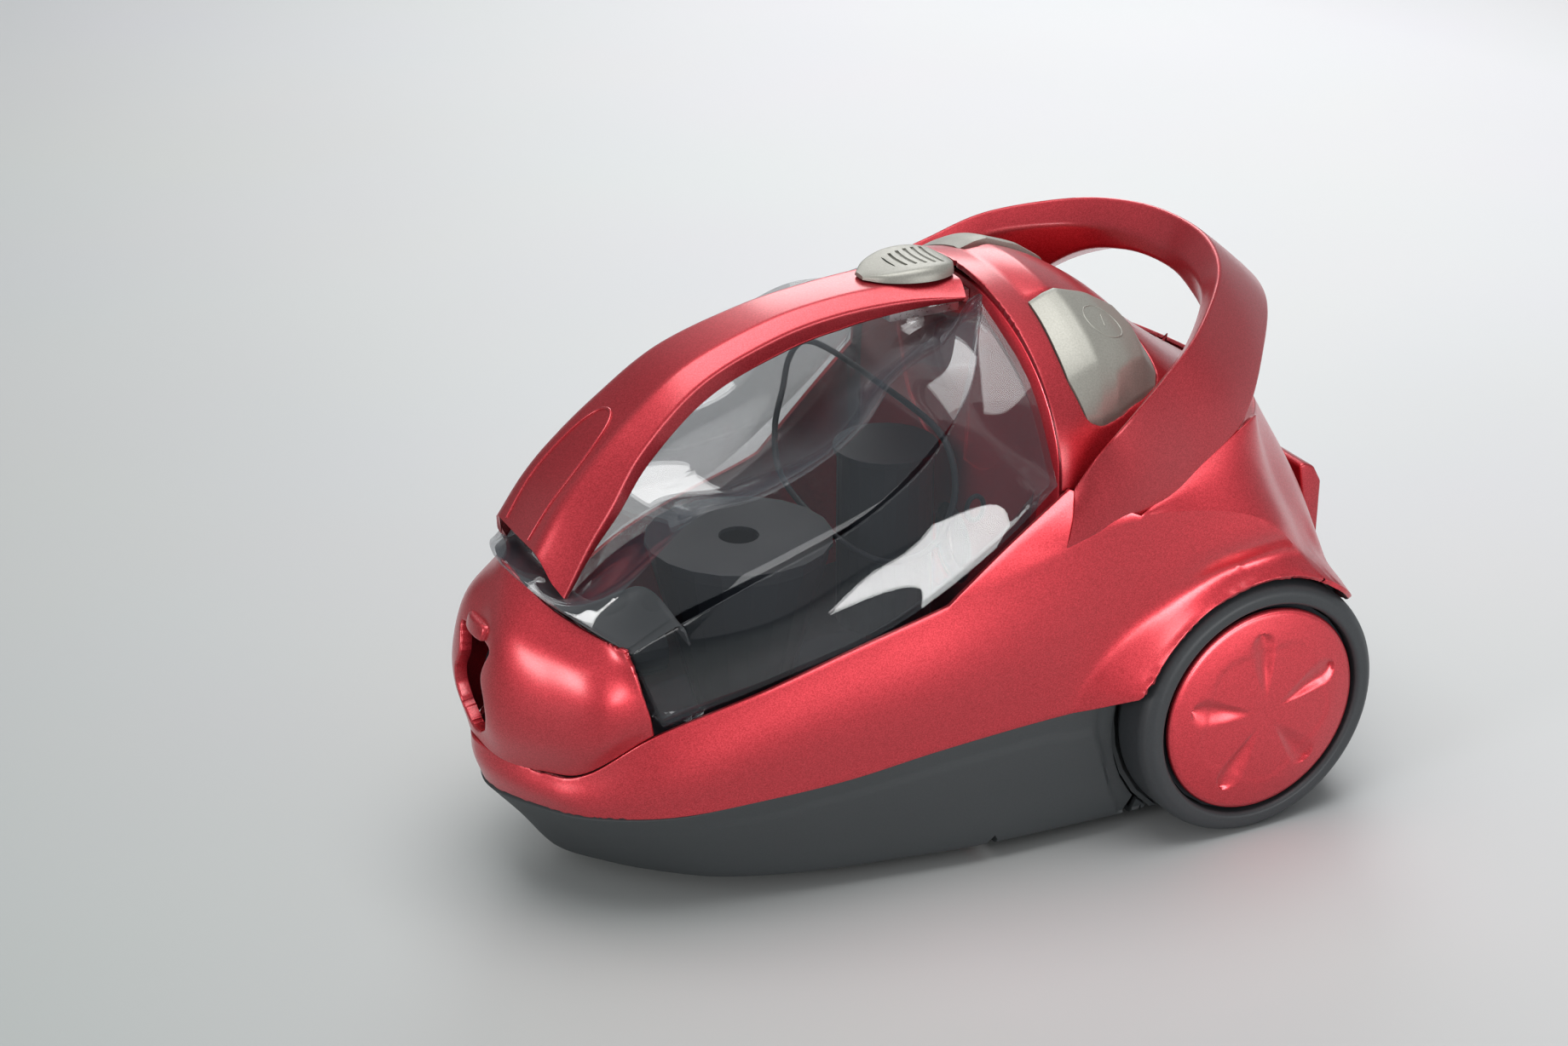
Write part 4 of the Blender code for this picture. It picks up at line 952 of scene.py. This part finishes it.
LEAF_ROWS = [
    [(70, -174, 148), (77, -153, 163), (84, -130, 174), (89, -100, 186), (91, -60, 203),
     (86, -25, 227), (74, 0, 249), (34, 26, 273.5)],
    [(55, -186, 155), (64, -166, 180), (68, -136, 207), (77, -100, 217), (75, -60, 236),
     (61, -30, 256), (49, 0, 260), (26, 25, 268.5)],
    [(38, -197, 162), (44, -181, 167), (50, -142, 198), (54, -104, 203), (52, -64, 216),
     (46, -34, 240), (32, 0, 253), (18, 25, 258)],
    [(18, -204, 167), (22, -190, 171), (24, -148, 192), (27, -106, 196), (26, -66, 208),
     (23, -38, 230), (16, 0, 249), (9, 25, 254)],
    [(0, -206, 169), (0, -192, 172), (0, -150, 190), (0, -106, 194), (0, -66, 206),
     (0, -39, 228), (0, 0, 248), (0, 25, 253)],
]


def tank_shell():
    steps = 12
    rows = [runs(*row, steps=steps) for row in
            (TANK_FLOOR, TANK_SIDES, TANK_SHOULDER, TANK_RIM, TANK_SIDE, TANK_TOP)]
    spine = np.linspace(rows[0][0], rows[0][-1], len(rows[0]))
    wall = relax(smooth(rows[:3], 10), 2)
    upper = smooth(rows[3:], 12)
    grids = [np.linspace(spine, rows[0], 6), wall, np.linspace(rows[2], rows[3], 4), upper]
    mesh = open_surface(grids, (0, -60, 120))
    thicken(mesh, TANK_WALL, edge=0.5)
    shell = as_object("tank_shell_detail", mesh, 28)
    cut(shell, prism("tank_inlet_hole", circle((0, 108), 16), -230, -150, "Y"))
    cut(shell, prism("tank_outlet_hole", circle((0, 128), 20), 15, 45, "Y"))
    finish(settled(shell, 28), "smoked_clear", "tank", "tank_shell")


def tank_lid():
    rows = [smooth([(x, y, z + 0.4) for x, y, z in row], 14) for row in LEAF_ROWS]
    ridge = relax(smooth(rows[:2], 10), 2)
    dish = relax(smooth(rows[1:], 10), 3)
    mesh = open_surface([ridge, dish], (0, -60, 120))
    thicken(mesh, TANK_WALL, edge=0.5)
    finish(as_object("tank_lid_detail", mesh, 28), "smoked_clear", "tank", "tank_lid")


def lid_gasket():
    """The dark band under the lid's front edge."""
    front, back = smooth([row[0] for row in LEAF_ROWS], 8), smooth([row[1] for row in LEAF_ROWS], 8)
    rows = [front + (0, 2.5, -3.2), front * 0.55 + back * 0.45 + (0, 2.5, -4.0), back + (0, 3, -5.5),
            back + (0, 8, -16)]
    mesh = open_surface([smooth(rows, 5)], (0, -170, 120))
    thicken(mesh, 1.2, edge=0)
    finish(as_object("lid_gasket", mesh), "rubber", "tank")


def tank_seal():
    half = smooth([(0, -10, 224), (50, -10, 223), (74, -12, 219), (86, -14, 206), (87, -17, 190),
                   (82, -24, 172), (62, -32, 158), (36, -34, 151), (0, -34, 148)], 10)
    loop = [tuple(p) for p in half] + [(-x, y, z) for x, y, z in half[::-1][1:-1]]
    finish(wire("tank_seal_detail", loop, 1.6, closed=True), "dark_plastic", "tank", "tank_seal")


def seal_pull():
    centre = np.array((86, -3, 190))
    ring = [centre + (0, 4.5 * math.cos(t), 6.0 * math.sin(t)) for t in np.linspace(0, 2 * math.pi, 49)[:-1]]
    finish(wire("seal_pull_detail", ring, 1.2, closed=True), "dark_plastic", "tank", "seal_pull")


def strap_drop(share):
    """How far the strap's top falls from its middle, 0, to its edge, 1: flat, then a sloped side."""
    return 0.16 * share**2 + 0.84 * max(0.0, (share - 0.6) / 0.4) ** 1.15


def strap_handle():
    crest, edge = smooth(STRAP_CREST, 12), smooth(STRAP_EDGE, 12)
    depth = np.interp(np.linspace(0, 8, len(crest)), range(9), STRAP_DEPTH)
    tangent = np.gradient(crest, axis=0)
    under = np.stack([0 * tangent[:, 0], tangent[:, 2], -tangent[:, 1]], axis=1)
    under /= np.linalg.norm(under, axis=1)[:, None]
    sections = []
    for station in range(len(crest)):
        shares = np.linspace(0, 1, 15)
        drops = [(share, strap_drop(share), strap_drop(share)) for share in shares]
        top = [crest[station] + (edge[station] - crest[station]) * drop for drop in drops]
        tip = max(0.0, 1 - station / 26) ** 2
        for share, point in zip(shares, top):
            point += np.array((-1.5, -5.0, -6.5)) * tip * ease((share - 0.55) / 0.45)
        low = [point + under[station] * depth[station] for point in top]
        low[-1] = low[-1] - np.array((2, 0, 0))
        corner, foot = top[-1], low[-1]
        reach = min(1.6, depth[station] * 0.4)
        side = []
        for point, before, after in ((corner, top[-2], foot), (foot, corner, low[-2])):
            side += bend(before, point, after, reach, 4)
        sections.append(top[:-2] + side + low[::-1][2:])
    middle = np.mean([np.mean(ring, axis=0) * (0, 1, 1) for ring in sections], axis=0)
    strap = mirrored_sections("strap_handle_detail", sections, middle)
    cut(strap, prism("latch_slot", [(-6, -14), (6, -14), (6, 22), (-6, 22)], 255, 300, "Z"))
    finish(settled(strap), "satin_red", "tank", "strap_handle")


def strap_point(share, x):
    """A point of the strap's top: share along it, from 0 at the nose, and x to the side."""
    crest, edge = smooth(STRAP_CREST, 12), smooth(STRAP_EDGE, 12)
    place = share * (len(crest) - 1)
    c = np.array([np.interp(place, range(len(crest)), crest[:, k]) for k in range(3)])
    e = np.array([np.interp(place, range(len(crest)), edge[:, k]) for k in range(3)])
    drop = strap_drop(abs(x / e[0]))
    return x, c[1] + (e[1] - c[1]) * drop, c[2] + (e[2] - c[2]) * drop


def strap_details():
    """The moulded loop on the strap's front, and the grip ribs under its rear."""
    half = [(0.03, 13.5), (0.14, 14.5), (0.24, 14.0), (0.32, 11.5), (0.365, 7.0), (0.38, 0.0)]
    shares = smooth([(x, share, 0) for share, x in half[::-1]], 6)[::-1]
    line = [strap_point(share, x) for x, share, _ in shares]
    line += [(-x, y, z) for x, y, z in line[::-1][1:]]
    finish(wire("strap_moulding", line, 0.75), "satin_red", "tank")
    for k in range(10):
        y = -62 + 5 * k
        height = float(np.interp(y, [p[1] for p in STRAP_CREST], [p[2] for p in STRAP_CREST]))
        depth = float(np.interp(y, [p[1] for p in STRAP_CREST], STRAP_DEPTH))
        low = height - depth - 0.6
        rib = [(x, y + 2 * (x / 17) ** 2, low - 2.2 * (x / 17) ** 2) for x in np.linspace(-17, 17, 13)]
        finish(wire(f"strap_rib_{k + 1}", rib, 1.1), "dark_plastic", "tank")


def latch_button():
    """The thumb slide: a crowned shield with curved grooves across its top."""
    stations = smooth([(-20, 4, 280.5), (-12, 13, 282.5), (0, 19, 284.5), (12, 20, 285), (22, 16, 284),
                       (27, 8, 282)], 10)
    floor = 278.5
    sections = []
    for y, half, top in stations:
        ring = [(half * s, y, top - 0.5 * s**2) for s in np.linspace(0, 0.84, 8)]
        ring += [(half * (0.84 + 0.16 * math.sin(t)), y, top - 0.4 - (top - 0.4 - floor) * (1 - math.cos(t)))
                 for t in np.radians((22, 45, 68, 90))]
        ring.append((half, y, floor))
        ring.append((0, y, floor))
        sections.append(ring)
    button = mirrored_sections("latch_button_detail", sections, (0, 4, 281), 40)
    for k in range(7):
        y = -9 + 4.4 * k
        reach = 7 + 1.1 * k if k < 5 else 12
        groove = [(x, y + 0.012 * x * x, 285.25 - 0.0035 * x * x - 0.02 * (y - 10) ** 2 * 0.5)
                  for x in np.linspace(-reach, reach, 15)]
        cut(button, wire(f"groove_{k}", groove, 0.95))
    foot = [(-4.5, -6), (4.5, -6), (4.5, 16), (-4.5, 16)]
    cut(button, prism("button_stem", foot, 261.4, 279.5, "Z"), "UNION")
    finish(settled(button, 40), "silver_grey", "latch", "latch_button")


# ---------------------------------------------------------------- wheels

def tyre(side, label):
    corners = [(56.5, -13), (66, -14), (WHEEL_RADIUS, -11), (WHEEL_RADIUS, 7), (66.5, 11), (63, 14), (58, 14),
               (56.5, 12)]
    ring = eased_ring([(r, 0, h) for r, h in corners], 1.6, 4)
    profile = [(point[0], point[2]) for point in ring]
    centre = (side * WHEEL_X, AXLE_Y, AXLE_Z)
    obj = turned(f"tyre_{label}_detail", profile, centre, 128, side=side)
    finish(obj, "rubber", f"wheel_{label}", f"tyre_{label}")


def petals(radius, turn):
    """Five scooped petals, each with one steeper wall, and the shallow hollow they spring from."""
    step, start = math.radians(72), math.radians(24)
    near = (turn - start + step / 2) % step - step / 2
    along, across = radius * math.cos(near), radius * math.sin(near)
    relief = 0.0
    if 8 < along < 43.5:
        width = 1.5 + 7.0 * (along - 8) / 28
        if along > 36:
            width = 8.5 * math.sqrt(max(0.0, 1 - ((along - 36) / 7.5) ** 2))
        place = across / max(0.5, width)
        if abs(place) < 1:
            profile = ease((1 - place) / 1.25) if place > -0.25 else ease((1 + place) / 0.75)
            relief -= 1.9 * profile * ease((along - 8) / 20)
    hollow = 36 - 2.4 * math.cos(5 * (turn - start))
    return relief - 0.28 * float(ease((hollow - radius) / 4 + 0.5))


def hub_cap(side, label):
    dome = smooth([(0, 0, 17), (20, 0, 16.7), (38, 0, 15.6), (50, 0, 13.6), (53, 0, 12.6)], 16)
    face = [(point[0], point[2]) for point in dome]
    rim = [(53.7, 12.0), (54, 11.2), (54, 10.4), (53, 8.5)]
    back = [(40, 10.2), (20, 12.0), (0, 12.5)]
    obj = turned(f"hub_cap_{label}_detail", face + rim + back, (side * WHEEL_X, AXLE_Y, AXLE_Z), 320,
                 relief=lambda r, t, h: petals(r, t) if h > 12.55 else 0.0, side=side)
    finish(obj, "satin_red", f"wheel_{label}", f"hub_cap_{label}")


# ---------------------------------------------------------------- the rest of the frame

def finish_cad_nodes():
    """Every CAD node takes its slot's material."""
    slots = {part["node"]: part["material_slot"] for part in frame["record"]["subparts"]}
    for name, obj in frame["nodes"].items():
        obj.data.materials.clear()
        obj.data.materials.append(FINISHES[slots[name]])


# ---------------------------------------------------------------- stage, camera and lights

def stage():
    """A pale floor that curves up behind into a backdrop, with painted shade darkening it towards one side.
    """
    profile = [(-6, 0), (3.0, 0)] + arc((3.0, 1.6), 1.6, -84, -6, 12) + [(4.6, 5)]
    mesh = bmesh.new()
    rows = [[mesh.verts.new((x, y, z)) for y, z in profile] for x in (-7, 7)]
    for i in range(len(profile) - 1):
        mesh.faces.new((rows[0][i], rows[1][i], rows[1][i + 1], rows[0][i + 1]))
    floor = as_object("floor", mesh, 60)
    floor.rotation_euler.z = CAMERA_TURN
    made, nodes, links, shader = new_material("studio_paper_painted_shade")
    noise = texture(nodes, links, "ShaderNodeTexNoise", 3, Detail=2.0)
    # painted shade: the paper's colour runs from dark grey to near white across the floor and backdrop,
    # standing in for how the lamps' light falls off
    slope = nodes.new("ShaderNodeVectorMath")
    slope.operation = "DOT_PRODUCT"
    slope.inputs[1].default_value = (0.37, 0.32, 0)
    links.new(nodes["place"].outputs["Object"], slope.inputs[0])
    across = ramp(nodes, links, slope.outputs["Value"], -0.34, 0.66, 0.0, 1.0)
    paper = mix_colour(nodes, links, across, (0.31, 0.33, 0.32), (0.90, 0.90, 0.92))
    mottle = nodes.new("ShaderNodeMix")
    mottle.data_type, mottle.blend_type = "RGBA", "MULTIPLY"
    mottle.inputs["Factor"].default_value = 0.05
    links.new(paper, mottle.inputs["A"])
    links.new(noise.outputs["Color"], mottle.inputs["B"])
    links.new(mottle.outputs["Result"], shader.inputs["Base Color"])
    settle(shader, rough=0.55, specular=0.3)
    floor.data.materials.append(made)


def softbox(name, place, target, width, height, power):
    """A rectangular light at place that faces target."""
    light = bpy.data.lights.new(name, "AREA")
    light.shape, light.size, light.size_y = "RECTANGLE", width, height
    light.energy = power
    obj = bpy.data.objects.new(name, light)
    bpy.context.scene.collection.objects.link(obj)
    obj.location = place
    obj.rotation_euler = (Vector(target) - Vector(place)).to_track_quat("-Z", "Y").to_euler()
    return obj


def lit_only(light, objects):
    """Keeps a light off everything but these objects."""
    group = bpy.data.collections.new(light.name + "_receivers")
    for obj in objects:
        group.objects.link(obj)
    light.light_linking.receiver_collection = group


def studio():
    """A pale surround, three soft boxes that light everything, and five that light chosen pieces."""
    world = bpy.data.worlds.new("studio")
    bpy.context.scene.world = world
    world.use_nodes = True
    back = world.node_tree.nodes["Background"]
    back.inputs["Color"].default_value = (0.94, 0.96, 0.97, 1)
    back.inputs["Strength"].default_value = 0.42
    softbox("overhead", (0.0, -0.05, 2.1), (0, 0, 0.1), 1.8, 1.6, 39)
    softbox("front", (0.55, -1.8, 0.55), (0, -0.2, 0.12), 0.5, 0.42, 9)
    softbox("far_side", (-1.8, 0.9, 1.2), (0, 0.1, 0.15), 1.0, 0.8, 10)
    names = {obj.name: obj for obj in bpy.context.scene.objects if obj.type == "MESH"}
    tank, wall = [names["tank_shell_detail"]], [names["bulkhead_detail"]]
    solid = [obj for name, obj in names.items() if name not in ("floor", "tank_shell_detail")]
    band = [names[name] for name in ("body_shell_detail", "nose_cap_detail", "hub_cap_right_detail")]
    for name, place, target, width, height, power, receivers in (
            ("side", (2.2, 0.4, 0.38), (0, 0, 0.15), 2.2, 0.72, 20, solid),
            ("flank", (2.0, 0.1, 0.6), (0, 0, 0.12), 1.8, 0.8, 34, band),
            ("wall_fill", (0.3, -0.9, 0.55), (0.04, 0.04, 0.18), 0.6, 0.6, 34, wall),
            ("tank_card", (0.42, 0.10, 0.11), (0.09, -0.02, 0.15), 0.16, 0.2, 1.15, tank),
            ("tank_front", (0.9, -0.9, 0.35), (0.07, -0.08, 0.15), 0.3, 0.3, 1.2, tank)):
        lit_only(softbox(name, place, target, width, height, power), receivers)
    bpy.context.scene.view_settings.view_transform = "Standard"
    bpy.context.scene.cycles.transparent_max_bounces = 32


def camera():
    data = bpy.data.cameras.new("camera")
    data.lens, data.sensor_width = 66.52, 36
    obj = bpy.data.objects.new("camera", data)
    bpy.context.scene.collection.objects.link(obj)
    obj.location = CAMERA_PLACE
    obj.rotation_euler = (CAMERA_TILT, 0, CAMERA_TURN)
    bpy.context.scene.camera = obj


finish_cad_nodes()
base_tray()
body_shell()
nose_cap()
hose_socket()
pedal_deck()
deck_gutter()
right_plan = pedal("power_pedal", 1)
pedal("rewind_pedal", -1)
pedal_marks(right_plan)
carry_hoop()
exhaust_door()
bulkhead()
tank_shell()
tank_lid()
lid_gasket()
tank_seal()
seal_pull()
strap_handle()
strap_details()
latch_button()
for side, label in ((1, "right"), (-1, "left")):
    tyre(side, label)
    hub_cap(side, label)
stage()
studio()
camera()
